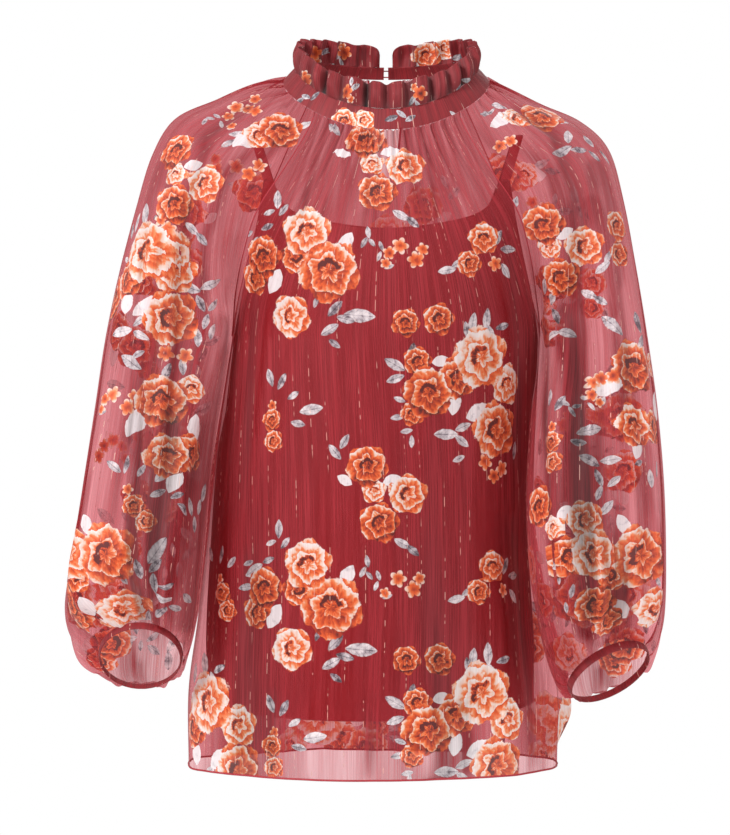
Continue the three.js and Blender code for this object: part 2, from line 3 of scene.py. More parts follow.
import bpy
import numpy as np
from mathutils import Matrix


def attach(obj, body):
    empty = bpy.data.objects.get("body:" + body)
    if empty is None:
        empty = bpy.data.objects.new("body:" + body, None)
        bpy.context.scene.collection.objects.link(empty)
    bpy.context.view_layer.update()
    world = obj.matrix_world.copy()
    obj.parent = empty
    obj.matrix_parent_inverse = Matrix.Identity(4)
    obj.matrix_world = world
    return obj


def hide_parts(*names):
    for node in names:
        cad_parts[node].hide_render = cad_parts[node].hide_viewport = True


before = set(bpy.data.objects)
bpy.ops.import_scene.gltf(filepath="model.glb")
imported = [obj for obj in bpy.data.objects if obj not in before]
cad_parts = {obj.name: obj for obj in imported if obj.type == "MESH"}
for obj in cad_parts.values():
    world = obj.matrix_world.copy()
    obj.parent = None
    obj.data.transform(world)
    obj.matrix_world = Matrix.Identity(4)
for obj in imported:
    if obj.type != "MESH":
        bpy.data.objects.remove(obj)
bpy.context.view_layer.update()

MM = 0.001
SIDES = {"left": -1.0, "right": 1.0}
FACES = ("front", "back")

# Driving sizes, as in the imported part
NECK = {"half": 98, "front": 70, "back": 64, "mid_y": -2, "side_z": 4, "tilt": 31, "dip": 21}
BAND = {
    "height": 15.5,
    "front_extra": 4,
    "back_less": 4.5,
    "narrow_x": 12,
    "narrow_y": 5,
    "wall": 1.4,
    "end_angle": 1.3,
    "seat": 0.2,
    "crown": 0.5,
}
RUFFLE = {
    "height": 25,
    "back_less": 3.5,
    "flare": -4,
    "waves": 25,
    "foot": 1.4,
    "crest": 3.8,
    "wall": 1.4,
    "end_angle": 4.2,
    "corner": 19,
    "seat": 0.4,
    "pleat": 0.9,
    "bulge": 0.9,
    "valley": 2.2,
    "scallop": 3.2,
}
CUFF = {"height": 8, "wall": 1.6, "narrow": 1.2, "seat": 0.4}
KEYHOLE = {"half": 17, "bottom_row": 2.8}
LINING = {"side_rise": 9, "hem": 590, "strap_top": 92, "underarm": 246, "front_scoop": 141, "back_scoop": 136}
STRAP = {"at": 0.66, "tab": 0.045, "width": 9, "top": 46, "bow": 14}
RAGLAN_FRONT = 44
RAGLAN_BACK = 138
UNDERARM = 6
BODY_HEM = 12
CUFF_ROW = 14

# Gathers: how many lie across a piece, their depth, and the rows over which they fade
NECK_GATHERS = {
    "body": [(12, 1.8, 0.3, 4.4), (29, 1.3, 0.2, 3.2), (47, 0.8, 0.1, 1.4)],
    "sleeve": [(8, 1.8, 0.3, 3.6), (23, 1.3, 0.2, 3)],
}
WRIST_GATHERS = [(12, 3, 11.5, 13.4), (31, 1.1, 12.2, 13.6)]
EVEN_GATHERS = {"body": (17, 0.4), "sleeve": (19, 0.5)}
LINING_GATHERS = (5, 0.7)
# Rows over which the large folds come in, and those over which they and the wrist's gathers grow shallower
BODY_FOLD_ROWS = (7, 11.4)
HEM_ROWS = (11.3, BODY_HEM)
SLEEVE_FOLD_ROWS = (3, 9)
WRIST_FOLD_ROWS = (11.5, CUFF_ROW)
CUFF_EDGE_ROWS = (13.4, CUFF_ROW)
# How sharply relief and creases fade towards a panel's seams
RELIEF_FADE = 8
CREASE_FADE = 6

# The camera stands level in front of the blouse. view_width is what the picture's width shows at the origin.
CAMERA = {"x": -20.4, "distance": 2600.0, "z": -314.0, "view_width": 693.5, "sensor": 36.0}


def columns(names, *rows):
    """A table with named columns, each an array."""
    return {name: np.array(values, float) for name, values in zip(names.split(), zip(*rows))}


SLEEVE_COLUMNS = "row top_x top_y top_z foot_x foot_y foot_z depth arc tilt"
SLEEVES = {
    "left": columns(
        SLEEVE_COLUMNS,
        (0, 98, -2, 4, 62, -3, -16, 62, 56, -26),
        (1, 125, 0, 3, 84, -3, -49, 78, 68, -17),
        (2, 160, 1, -12, 104, -3, -84, 88, 84, -10),
        (3, 200, 2, -30, 121, -2, -118, 88, 105, -6),
        (4, 222, 2, -64, 133, 0, -158, 86, 129, -3),
        (5, 238, 1, -114, 142, 2, -198, 83, 154, -1),
        (6, 254, -2, -174, 147, 3, -236, 80, 180, 0),
        (7, 267, -8, -238, 155, -16, -280, 78, 180, 2),
        (8, 276, -16, -302, 162, -38, -326, 78, 180, 5),
        (9, 286, -26, -372, 167, -58, -384, 80, 180, 10),
        (10, 295, -38, -438, 171, -70, -444, 81, 180, 18),
        (11, 301, -50, -486, 175, -76, -490, 77, 180, 30),
        (12, 294, -62, -512, 180, -80, -516, 66, 180, 42),
        (13, 278, -70, -526, 185, -80, -530, 50, 180, 52),
        (14, 266, -74, -532, 188, -78, -531, 37, 180, 56),
    ),
    "right": columns(
        SLEEVE_COLUMNS,
        (0, 98, -2, 4, 62, -3, -16, 62, 56, -26),
        (1, 115, 0, -2, 84, -3, -49, 78, 68, -17),
        (2, 147, 1, -17, 104, -3, -84, 88, 84, -10),
        (3, 184, 2, -33, 121, -2, -118, 88, 105, -6),
        (4, 211, 2, -60, 132, 0, -158, 86, 129, -3),
        (5, 226, 1, -110, 140, 2, -198, 83, 154, -1),
        (6, 238, -2, -172, 146, 3, -236, 80, 180, 0),
        (7, 248, -10, -238, 142, -34, -282, 76, 180, 2),
        (8, 256, -20, -302, 133, -62, -328, 74, 180, 4),
        (9, 261, -32, -372, 128, -82, -386, 73, 180, 8),
        (10, 262, -42, -440, 130, -92, -450, 74, 180, 14),
        (11, 260, -48, -494, 139, -92, -504, 71, 180, 24),
        (12, 253, -54, -520, 149, -87, -540, 61, 180, 34),
        (13, 246, -60, -530, 158, -80, -556, 47, 180, 41),
        (14, 241, -66, -532, 166, -74, -560, 35, 180, 44),
    ),
}
MIDDLE = columns(
    "row front_y front_z back_y back_z",
    (0, -72, -48, 62, 14),
    (1, -88, -74, 76, -18),
    (2, -99, -102, 87, -54),
    (3, -107, -132, 95, -92),
    (4, -113, -164, 100, -134),
    (5, -117, -200, 102, -180),
    (6, -119, -240, 102, -230),
    (8, -121, -362, 100, -362),
    (10, -124, -502, 104, -502),
    (12, -129, -642, 112, -643),
)
SIDE_SEAMS = columns(
    "row half z sway",
    (6, 146, -236, 0),
    (7, 149, -292, -6),
    (8, 153, -362, -13),
    (9, 156, -432, -16),
    (10, 163, -502, -16),
    (11, 175, -572, -13),
    (12, 175, -642, -13),
)
CAMISOLE = columns(
    "drop half front back sway",
    (80, 128, -86, 76, 0),
    (150, 134, -102, 88, 0),
    (210, 140.4, -109, 93, 0),
    (246, 144.4, -111, 94, -1),
    (270, 145.5, -112, 94, -3),
    (310, 145, -112, 92, -8),
    (362, 145, -112, 92, -13),
    (432, 147, -113, 93, -16),
    (502, 151, -114, 95, -16),
    (600, 155, -117, 99, -14),
)

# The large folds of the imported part: where each lies across its panel, its half width there, its depth in
# millimetres, and the share that is left at the hem
FOLD_COLUMNS = "at width depth hem"
BODY_FOLDS = {
    "front": columns(
        FOLD_COLUMNS,
        (-0.78, 0.1, 5, 1),
        (-0.46, 0.09, -3, 1),
        (-0.12, 0.1, 3, 1),
        (0.24, 0.08, -3, 1),
        (0.52, 0.09, 4, 1),
        (0.8, 0.09, 5, 0.6),
    ),
    "back": columns(
        FOLD_COLUMNS,
        (-0.8, 0.1, 6, 1),
        (-0.5, 0.1, -4, 1),
        (-0.2, 0.09, 6, 1),
        (0.14, 0.1, -4, 1),
        (0.44, 0.1, 7, 1),
        (0.84, 0.1, 30, 0.1),
    ),
}
SLEEVE_FOLDS = columns(
    FOLD_COLUMNS,
    (-0.72, 0.07, 6, 1),
    (-0.48, 0.06, -8, 1),
    (-0.27, 0.06, 7, 1),
    (-0.06, 0.05, -5, 1),
    (0.2, 0.08, 6, 1),
    (0.5, 0.08, -7, 1),
    (0.76, 0.06, 4, 1),
)

# The smaller creases of each piece, as lines seen from the front in x and z, with half width and depth in
# millimetres. A piece's back has the same ones, moved by BACK_SHIFT.
CREASES = {
    "body": [
        ([(-118, -165), (-128, -260), (-132, -400)], 5, -2.4),
        ([(-96, -150), (-110, -230), (-120, -330)], 4, 2.1),
        ([(112, -150), (124, -240), (122, -380)], 5, -2.4),
        ([(92, -140), (108, -220), (112, -300)], 4, 2),
        ([(-146, -390), (-152, -500), (-158, -636)], 6, 3.6),
        ([(-128, -430), (-134, -540), (-138, -640)], 5, -2.7),
        ([(118, -400), (128, -520), (136, -638)], 6, -3.3),
        ([(96, -440), (104, -540), (108, -640)], 5, 2.7),
        ([(-60, -560), (-66, -600), (-68, -642)], 6, 3),
        ([(-20, -570), (-16, -610), (-18, -642)], 6, -2.4),
        ([(30, -555), (36, -600), (38, -642)], 7, 3.3),
        ([(70, -570), (74, -610), (72, -642)], 5, -2.7),
        ([(-104, -560), (-108, -600), (-106, -642)], 5, -2.4),
        ([(-64, -70), (-74, -110), (-80, -150)], 3, -2),
        ([(-40, -60), (-46, -104), (-50, -150)], 3, 2),
        ([(-16, -56), (-18, -90), (-18, -130)], 2.6, -1.8),
        ([(12, -56), (14, -96), (16, -150)], 3, 1.8),
        ([(36, -60), (42, -100), (48, -140)], 2.6, -2),
        ([(62, -66), (74, -104), (84, -150)], 3, 2),
    ],
    "left": [
        ([(-92, -70), (-118, -110), (-140, -150)], 16, 3.4),
        ([(-186, -140), (-190, -230), (-198, -330)], 9, -3.2),
        ([(-150, -165), (-156, -240), (-170, -320)], 10, 3.2),
        ([(-250, -330), (-260, -400), (-256, -470)], 15, 4.0),
        ([(-214, -330), (-216, -420), (-214, -515)], 9, -3.8),
        ([(-188, -380), (-194, -450), (-204, -515)], 9, 3.2),
        ([(-172, -60), (-196, -100), (-208, -160)], 12, 2.6),
        ([(-96, -22), (-130, -52), (-150, -110)], 6, 5.1),
        ([(-84, -36), (-112, -74), (-134, -140), (-150, -210)], 6, -5.1),
        ([(-78, -60), (-100, -100), (-124, -170)], 5, 4.4),
        ([(-120, -14), (-166, -52), (-186, -120), (-190, -200)], 7, -5.4),
        ([(-150, -96), (-164, -180), (-172, -280), (-180, -360)], 6, 5.4),
        ([(-186, -150), (-188, -250), (-198, -360), (-210, -470)], 7, -6.1),
        ([(-208, -100), (-222, -200), (-232, -320), (-240, -430)], 6, 5.1),
        ([(-222, -250), (-250, -380), (-262, -480)], 6, -4.4),
        ([(-168, -250), (-176, -340), (-190, -450), (-205, -520)], 5, -4.1),
        ([(-240, -420), (-246, -480), (-238, -525)], 5, 4.1),
        ([(-200, -440), (-208, -490), (-214, -528)], 4, 3.4),
        ([(-276, -400), (-284, -460), (-270, -515)], 5, 3.7),
        ([(-160, -150), (-170, -200), (-172, -240)], 4, -3.7),
    ],
    "right": [
        ([(92, -64), (116, -110), (134, -150)], 14, 3.2),
        ([(166, -110), (172, -200), (172, -290)], 9, -3.4),
        ([(186, -130), (196, -230), (192, -330)], 13, 3.6),
        ([(214, -300), (222, -380), (220, -470)], 14, 4.0),
        ([(182, -330), (180, -420), (184, -510)], 9, -3.8),
        ([(152, -380), (158, -450), (172, -515)], 9, 3.0),
        ([(96, -26), (126, -56), (146, -110)], 6, 5.1),
        ([(84, -38), (110, -80), (132, -140), (146, -200)], 6, -5.1),
        ([(118, -18), (156, -50), (176, -110), (184, -190)], 7, -5.4),
        ([(140, -90), (152, -170), (158, -260), (152, -340)], 6, 5.4),
        ([(170, -150), (176, -240), (172, -340), (170, -440)], 7, -6.1),
        ([(194, -100), (206, -200), (208, -310), (206, -420)], 6, 5.1),
        ([(222, -240), (234, -340), (236, -440)], 6, -4.4),
        ([(146, -260), (142, -350), (150, -460), (166, -530)], 5, -4.1),
        ([(192, -420), (194, -480), (190, -530)], 5, 4.1),
        ([(216, -430), (222, -490), (218, -526)], 5, -3.7),
        ([(240, -400), (246, -470), (240, -520)], 5, 3.7),
        ([(152, -150), (160, -200), (160, -236)], 4, -3.7),
    ],
}
BACK_SHIFT = (7, -24)
# How far a surface is turned to the viewer where a crease begins to show, and where it shows fully
CREASE_FACING = (0.02, 0.4)

# Where a sleeve's cloth lies doubled in soft overlaps, painted as deeper bands of thicker cover and painted
# shade, as lines seen from the front in x and z, with half width in millimetres and how much deeper it is
# painted
SHADED_OVERLAPS = {
    "left": [
        ([(-204, -70), (-216, -130), (-222, -190)], 12, 0.8),
        ([(-226, -150), (-229, -240), (-230, -330), (-232, -420), (-224, -510)], 6, 0.9),
        ([(-152, -210), (-166, -300), (-176, -400), (-186, -520)], 22, 1),
        ([(-200, -300), (-204, -400), (-206, -500)], 12, 0.8),
        ([(-290, -330), (-304, -420), (-300, -490)], 5, 0.7),
    ],
    "right": [
        ([(190, -70), (204, -130), (212, -200)], 12, 0.7),
        ([(208, -170), (214, -260), (210, -350), (212, -440), (210, -510)], 8, 0.9),
        ([(160, -200), (160, -300), (166, -400), (180, -510)], 18, 1),
        ([(236, -330), (244, -420), (236, -490)], 9, 0.7),
    ],
}
OVERLAP_EDGE = (0.2, 0.45)

# The flowers and leaves of the print. A cluster holds motifs, each with its place from the cluster's middle,
# its half size, its turn in degrees and its tone: 0 is dark and 1 is pale.
CLUSTERS = {
    "garland": [
        ("leaf", -25, 65, 9, 90, 0.6),
        ("leaf", -33, 53, 6, 200, 0.6),
        ("leaf", -20, 54, 7, 50, 0.5),
        ("leaf", -54, 34, 6, 200, 0.5),
        ("leaf", -36, 37, 7, 20, 0.3),
        ("leaf", -47, 25, 6, 230, 0.4),
        ("leaf", 27, -36, 10, 45, 0.25),
        ("leaf", 10, -30, 6, 70, 0.3),
        ("leaf", 50, -43, 15, -5, 0.75),
        ("leaf", 36, -48, 9, -15, 0.3),
        ("leaf", 22, -55, 10, 30, 0.6),
        ("leaf", 27, -68, 7, -35, 0.12),
        ("petal", 37, 25, 11, 60, 0.9),
        ("petal", -29, -12, 13, 60, 0.95),
        ("rose", -8, 12, 18, 200, 0.4),
        ("rose", -40, 11, 22, 10, 0.36),
        ("rose", -47, -9, 18, 60, 0.46),
        ("rose", 1, 35, 26, 20, 0.86),
        ("rose", -14, -43, 23, 80, 0.92),
        ("rose", 22, -3, 33, 0, 0.56),
    ],
    "bunch": [
        ("leaf", -20, 10, 5, 110, 0.5),
        ("leaf", -22, -1, 5, 250, 0.7),
        ("leaf", -13, -9, 5, 200, 0.6),
        ("leaf", -31, 22, 6, 100, 0.6),
        ("leaf", -35, 12, 6, 60, 0.5),
        ("leaf", -28, 11, 5, 130, 0.3),
        ("blossom", -15, -6, 6, 0, 0.7),
        ("blossom", -3, 8, 9, 20, 0.8),
        ("blossom", 12, -4, 9, 10, 0.6),
        ("blossom", 6, 4, 8, 50, 0.5),
        ("blossom", 0, -7, 9, 70, 0.3),
        ("blossom", 18, 6, 7, 30, 0.7),
        ("blossom", -12, 4, 7, 60, 0.6),
    ],
    "shoulder_rose": [
        ("leaf", -34, -2, 9, 180, 0.7),
        ("leaf", -42, -12, 8, 210, 0.4),
        ("leaf", 26, 6, 9, 20, 0.8),
        ("petal", -22, -8, 15, 20, 0.9),
        ("rose", -14, -4, 17, 40, 0.9),
        ("rose", 6, 2, 24, 0, 0.48),
        ("blossom", -14, -34, 8, 0, 0.7),
        ("blossom", -22, -42, 8, 30, 0.5),
        ("blossom", -10, -46, 8, 60, 0.8),
    ],
    "bouquet": [
        ("leaf", 18, 57, 10, 80, 0.7),
        ("leaf", 12, 51, 8, 100, 0.35),
        ("leaf", 31, 61, 11, 88, 0.8),
        ("leaf", 35, 46, 9, -60, 0.75),
        ("leaf", 46, 55, 8, 15, 0.35),
        ("leaf", -39, 27, 11, 80, 0.15),
        ("leaf", -54, 19, 11, 150, 0.6),
        ("leaf", -54, 4, 9, 200, 0.6),
        ("leaf", -50, -14, 6, 160, 0.5),
        ("leaf", -51, -29, 7, 190, 0.6),
        ("leaf", -44, -43, 6, 190, 0.5),
        ("leaf", -40, -53, 6, 270, 0.7),
        ("leaf", -8, -45, 12, 0, 0.8),
        ("leaf", 9, -38, 9, 20, 0.7),
        ("leaf", 8, -51, 9, -35, 0.8),
        ("leaf", 4, -68, 7, 200, 0.7),
        ("leaf", 61, -62, 9, 80, 0.5),
        ("petal", 1, -17, 12, 80, 0.95),
        ("petal", -12, 22, 9, 10, 0.9),
        ("rose", -44, 57, 15, 0, 0.36),
        ("rose", -14, 58, 17, 40, 0.42),
        ("rose", -34, 20, 15, 30, 0.4),
        ("rose", 52, 0, 22, 30, 0.9),
        ("rose", 2, 6, 22, 70, 0.42),
        ("rose", -38, -27, 13, 10, 0.45),
        ("rose", -23, -6, 27, 0, 0.44),
        ("rose", 26, 26, 33, 50, 0.9),
        ("blossom", 30, -71, 9, 10, 0.5),
        ("blossom", 47, -77, 9, 40, 0.7),
        ("blossom", 38, -85, 8, 60, 0.4),
        ("petal", 24, -26, 15, 20, 0.9),
        ("rose", 40, -40, 30, 70, 0.6),
    ],
    "three_roses": [
        ("leaf", -45, 36, 9, 130, 0.6),
        ("leaf", -37, 47, 8, 60, 0.5),
        ("leaf", 16, -46, 9, -30, 0.7),
        ("leaf", 27, -54, 8, -40, 0.3),
        ("petal", -36, 12, 8, 150, 0.95),
        ("petal", 6, 12, 9, 20, 0.95),
        ("rose", -10, 2, 13, 0, 0.98),
        ("rose", -15, 24, 22, 20, 0.42),
        ("rose", 21, -2, 21, 60, 0.78),
        ("rose", -5, -27, 21, 40, 0.42),
    ],
    "trail": [
        ("leaf", -16, 18, 11, 160, 0.5),
        ("leaf", 2, 20, 10, 20, 0.7),
        ("leaf", -6, 4, 9, 120, 0.3),
        ("leaf", 8, 2, 8, 50, 0.6),
        ("leaf", -2, -12, 8, 250, 0.5),
        ("leaf", 7, -22, 9, 60, 0.7),
    ],
    "sleeve_roses": [
        ("leaf", -40, 56, 13, 150, 0.6),
        ("leaf", -14, 64, 11, 110, 0.2),
        ("leaf", -6, 46, 10, 60, 0.4),
        ("leaf", 8, 50, 9, 100, 0.5),
        ("leaf", 30, -66, 10, 60, 0.5),
        ("leaf", 18, -78, 9, 100, 0.7),
        ("leaf", 6, -66, 7, 20, 0.3),
        ("petal", -34, 2, 16, 60, 0.95),
        ("rose", 16, 30, 16, 0, 0.85),
        ("rose", -12, 20, 29, 20, 0.46),
        ("petal", 22, -8, 15, 80, 0.9),
        ("rose", 22, -28, 20, 60, 0.42),
        ("petal", 2, -52, 13, 70, 0.95),
        ("rose", -4, -32, 24, 0, 0.6),
    ],
    "bud": [
        ("leaf", 7, 4, 6, 40, 0.3),
        ("leaf", 3, 11, 5, 100, 0.6),
        ("blossom", 2, -7, 5, 30, 0.8),
        ("blossom", -3, 0, 8, 0, 0.3),
    ],
    "leaves": [
        ("leaf", -8, -1, 7, 20, 0.2),
        ("leaf", 2, 3, 6, -40, 0.5),
        ("leaf", 10, -1, 6, 30, 0.3),
    ],
    "collar_rose": [
        ("petal", 8, -4, 11, -20, 0.95),
        ("petal", -10, -3, 11, 40, 0.9),
        ("rose", 12, 1, 12, 60, 0.9),
        ("rose", -7, 0, 15, 0, 0.62),
    ],
    "sprig": [
        ("leaf", -6, 34, 9, 110, 0.6),
        ("leaf", 5, 30, 9, 60, 0.35),
        ("leaf", 15, 18, 7, 30, 0.5),
        ("leaf", 33, 6, 12, 10, 0.75),
        ("leaf", 20, -6, 8, -10, 0.5),
        ("blossom", -4, 9, 6, 20, 0.6),
        ("rose", -4, -23, 12, 60, 0.55),
        ("rose", -5, -5, 12, 0, 0.44),
    ],
    "pair": [
        ("leaf", 16, 12, 9, 60, 0.25),
        ("leaf", 25, 1, 9, 0, 0.5),
        ("leaf", 24, -17, 9, -50, 0.7),
        ("leaf", -32, -17, 9, 190, 0.8),
        ("leaf", -22, -10, 7, 30, 0.6),
        ("blossom", 14, -10, 8, 20, 0.6),
        ("rose", -11, -12, 14, 60, 0.5),
        ("rose", 2, 10, 17, 0, 0.62),
    ],
}

# Where the clusters lie on each piece, seen from the front: x and z, and a turn in degrees
PRINTS = {
    "front": [
        ("three_roses", -4, -82, 0),
        ("garland", -75, -178, 0),
        ("bunch", 14, -167, 0),
        ("pair", 86, -162, 0),
        ("bouquet", 61, -284, 0),
        ("sprig", -102, -312, 0),
        ("three_roses", -3, -382, 0),
        ("garland", -74, -482, 0),
        ("bunch", 12, -467, 0),
        ("pair", 95, -462, 0),
        ("sprig", -152, -470, 20),
        ("bouquet", 61, -592, 0),
        ("sprig", -100, -608, 0),
        ("bouquet", -186, -610, 15),
    ],
    "left": [
        ("bunch", -136, -28, 30),
        ("shoulder_rose", -104, -48, 0),
        ("three_roses", -188, -92, -10),
        ("bunch", -212, -150, 60),
        ("bouquet", -246, -190, 10),
        ("trail", -166, -212, 0),
        ("sleeve_roses", -196, -318, 0),
        ("bunch", -250, -300, 0),
        ("sprig", -228, -386, 30),
        ("garland", -270, -456, 60),
        ("trail", -176, -400, 20),
        ("trail", -204, -486, 90),
    ],
    "right": [
        ("shoulder_rose", 138, -30, -20),
        ("trail", 186, -62, 60),
        ("three_roses", 160, -158, 10),
        ("pair", 218, -146, 30),
        ("trail", 150, -216, 180),
        ("sleeve_roses", 236, -290, -10),
        ("bunch", 196, -284, 60),
        ("sprig", 152, -330, 0),
        ("three_roses", 158, -412, 20),
        ("garland", 216, -456, 60),
        ("trail", 196, -372, -10),
    ],
    "ruffle": [
        ("bud", -37, -12, 0),
        ("bud", 28, -14, 200),
        ("bud", -84, 2, 120),
        ("leaves", 78, -2, 40),
    ],
    "ruffle_inside": [
        ("bud", -69, 36, 0),
        ("bud", -42, 40, 180),
        ("collar_rose", 44, 39, 20),
        ("leaves", 79, 33, 0),
    ],
    "band": [
        ("collar_rose", -34, -39, 0),
        ("leaves", 12, -36, 0),
        ("bud", 68, -42, 40),
        ("leaves", -78, -16, 20),
    ],
}
BACK_PRINT_SHIFT = (18, -46)
LAYERS = {"rose": 5, "leaf": 3, "blossom": 2}
# A place outside every motif, how far out in units of its size a motif is written, and how alike the
# directions of its cloth have to be
NOWHERE = (4.0, 4.0, 0.0)
MOTIF_REACH = 1.05
MOTIF_TURN = 0.1
# How far a surface has to face the viewer, and how near to the cloth a motif's middle has to fall
PRINT_FACING = 0.05
PRINT_NEAR = 0.7
# How little depth counts when the nearest cloth is sought, and the depth at which it is sought
DEPTH_SHARE = 0.02
PRINT_DEPTH = 150

# How finely the cloth is divided
BODY_GRID = (190, 250)
SLEEVE_GRID = (190, 240)
RUFFLE_COLUMNS = 760
BAND_COLUMNS = 360
CUFF_COLUMNS = 240
LINING_GRID = (90, 120)
TUBE_SIDES = 8


def smoothstep(x, low, high):
    t = np.clip((np.asarray(x, float) - low) / (high - low), 0, 1)
    return t * t * (3 - 2 * t)


def lerp(a, b, t):
    return a + (b - a) * t


def stack(x, y, z):
    return np.stack(np.broadcast_arrays(x, y, z), axis=-1).astype(float)


def unit(v):
    return v / np.maximum(np.linalg.norm(v, axis=-1, keepdims=True), 1e-9)


def along(data, column, at, key="row"):
    """A smooth curve through one column of a table, in order of another."""
    keys, values = data[key], data[column]
    at = np.asarray(at, float)
    last = len(keys) - 2
    k = np.clip(np.searchsorted(keys, at, side="right") - 1, 0, last)
    slopes = np.diff(values) / np.diff(keys)
    here = slopes[k]
    before = np.where(k > 0, (slopes[np.maximum(k - 1, 0)] + here) / 2, here)
    after = np.where(k < last, (slopes[np.minimum(k + 1, last)] + here) / 2, here)
    span = keys[k + 1] - keys[k]
    t = (at - keys[k]) / span
    bend = (before - here) * (1 - t) + (here - after) * t
    return lerp(values[k], values[k + 1], t) + span * t * (1 - t) * bend


def fold_depth(folds, place, fading):
    """Ridges and troughs from a table of folds. fading runs from 0 to 1 over the last stretch at the hem."""
    total = 0
    for at, width, depth, hem in zip(*(folds[name] for name in FOLD_COLUMNS.split())):
        total = total + lerp(1, hem, fading) * depth * np.exp(-(((place - at) / width) ** 2))
    return total


def gather_depth(place, count, depth):
    """Uneven gathers: a wave whose height changes along it."""
    turn = math.pi * count * (place + 1)
    return depth * np.cos(turn + 0.5 * np.sin(turn / 3.1)) * (0.8 + 0.2 * np.sin(turn / 2.3 + 1))


def neck_gathers(place, row, table):
    """Gathers that are deepest at the neck seam and fade out below it."""
    total = 0
    for count, depth, start, end in table:
        total = total + gather_depth(place, count, depth) * (1 - smoothstep(row, start, end))
    return total


def neck_point(angle):
    """The neck seam, at an angle in degrees from the centre front."""
    a = np.radians(angle)
    depth = np.where(np.cos(a) > 0, NECK["front"], NECK["back"])
    return stack(
        NECK["half"] * np.sin(a),
        NECK["mid_y"] - depth * np.cos(a),
        NECK["side_z"] - NECK["tilt"] * np.cos(a) - NECK["dip"] * np.cos(a) ** 2,
    )


def neck_out(angle):
    a = np.radians(angle)
    return unit(stack(NECK["front"] * np.sin(a), -NECK["half"] * np.cos(a), 0 * a))


def from_neck(row):
    """How far a piece has turned from the neck seam into its own form."""
    return np.sin((math.pi / 4) * np.minimum(row, 2))


def blend_from_neck(row, neck, form):
    share = np.where(row >= 2, 1.0, from_neck(row))[..., None]
    return lerp(neck, form, share)


def sleeve_form(side, row, s):
    """s runs from -1 at the front seam, over the top line, to 1 at the back seam."""
    table = SLEEVES[side]
    get = {name: along(table, name, row) for name in SLEEVE_COLUMNS.split()[1:]}
    arc = np.radians(np.where(row >= UNDERARM, 180, get["arc"]))
    tilt = np.radians(get["tilt"])
    lift = (np.cos(s * arc) - np.cos(arc)) / (1 - np.cos(arc))
    across = get["depth"] * np.sin(s * arc)
    return stack(
        SIDES[side] * lerp(get["foot_x"], get["top_x"], lift),
        lerp(get["foot_y"], get["top_y"], lift) + across * np.cos(tilt),
        lerp(get["foot_z"], get["top_z"], lift) - across * np.sin(tilt),
    )


def sleeve_point(side, row, s):
    angle = SIDES[side] * lerp(RAGLAN_FRONT, RAGLAN_BACK, (s + 1) / 2)
    return blend_from_neck(row, neck_point(angle), sleeve_form(side, row, s))


def neck_angle(face, u):
    return RAGLAN_FRONT * u if face == "front" else 180 - (180 - RAGLAN_BACK) * u


def body_point(face, row, u):
    """u runs from -1 at the left edge of a panel to 1 at its right edge."""
    row, u = np.broadcast_arrays(np.asarray(row, float), np.asarray(u, float))
    below = row > UNDERARM
    sway = np.where(below, along(SIDE_SEAMS, "sway", row), 0)
    middle = stack(sway, along(MIDDLE, face + "_y", row), along(MIDDLE, face + "_z", row))
    end = np.full_like(row, -1.0 if face == "front" else 1.0)
    above = np.minimum(row, UNDERARM - 1e-6)
    raglan = np.where((u < 0)[..., None], sleeve_form("left", above, end), sleeve_form("right", above, end))
    underarm_y = SLEEVES["left"]["foot_y"][UNDERARM]
    seam = stack(np.sign(u) * along(SIDE_SEAMS, "half", row) + sway, underarm_y, along(SIDE_SEAMS, "z", row))
    edge = np.where((row < UNDERARM)[..., None], raglan, seam)
    neck_arc = RAGLAN_FRONT if face == "front" else 180 - RAGLAN_BACK
    arc = np.radians(lerp(neck_arc, 90, smoothstep(row, 0, UNDERARM)))
    away = (1 - np.cos(arc * u)) / (1 - np.cos(arc))
    form = stack(
        lerp(middle[..., 0], edge[..., 0], np.sin(arc * np.abs(u)) / np.sin(arc)),
        lerp(middle[..., 1], edge[..., 1], away),
        lerp(middle[..., 2], edge[..., 2], away),
    )
    return blend_from_neck(row, neck_point(neck_angle(face, u)), form)


def normals_of(points, sign):
    across = np.gradient(points, axis=1)
    down = np.gradient(points, axis=0)
    return unit(np.cross(across, down)) * sign


def even_rows(line, last, count):
    """Row numbers that lie evenly along a line from the neck down."""
    fine = np.linspace(0, last, 600)
    length = np.concatenate([[0], np.cumsum(np.linalg.norm(np.diff(line(fine), axis=0), axis=1))])
    return np.interp(np.linspace(0, length[-1], count), length, fine)


def crease_depth(points, normals, lines, shift, facing):
    """How far creases, given as lines in the front view, move a surface that faces the viewer."""
    seen = smoothstep(normals[..., 1] * facing, *CREASE_FACING)
    here = points[..., [0, 2]]
    total = np.zeros(seen.shape)
    for line, width, depth in lines:
        line = np.array(line, float) + shift
        lengths = np.linalg.norm(np.diff(line, axis=0), axis=1)
        starts = np.concatenate([[0], np.cumsum(lengths)])
        nearest = np.full(seen.shape, np.inf)
        travelled = np.zeros(seen.shape)
        for a, b, length, start in zip(line[:-1], line[1:], lengths, starts):
            t = np.clip(((here - a) @ (b - a)) / length**2, 0, 1)
            gap = np.linalg.norm(here - (a + t[..., None] * (b - a)), axis=-1)
            travelled = np.where(gap < nearest, (start + t * length) / starts[-1], travelled)
            nearest = np.minimum(gap, nearest)
        taper = np.sqrt(np.clip(4 * travelled * (1 - travelled), 0, 1))
        total += depth * np.exp(-((nearest / width) ** 2)) * taper
    return total * seen


def all_creases(points, normals, lines):
    front = crease_depth(points, normals, lines, (0, 0), -1)
    return front + crease_depth(points, normals, lines, BACK_SHIFT, 1)


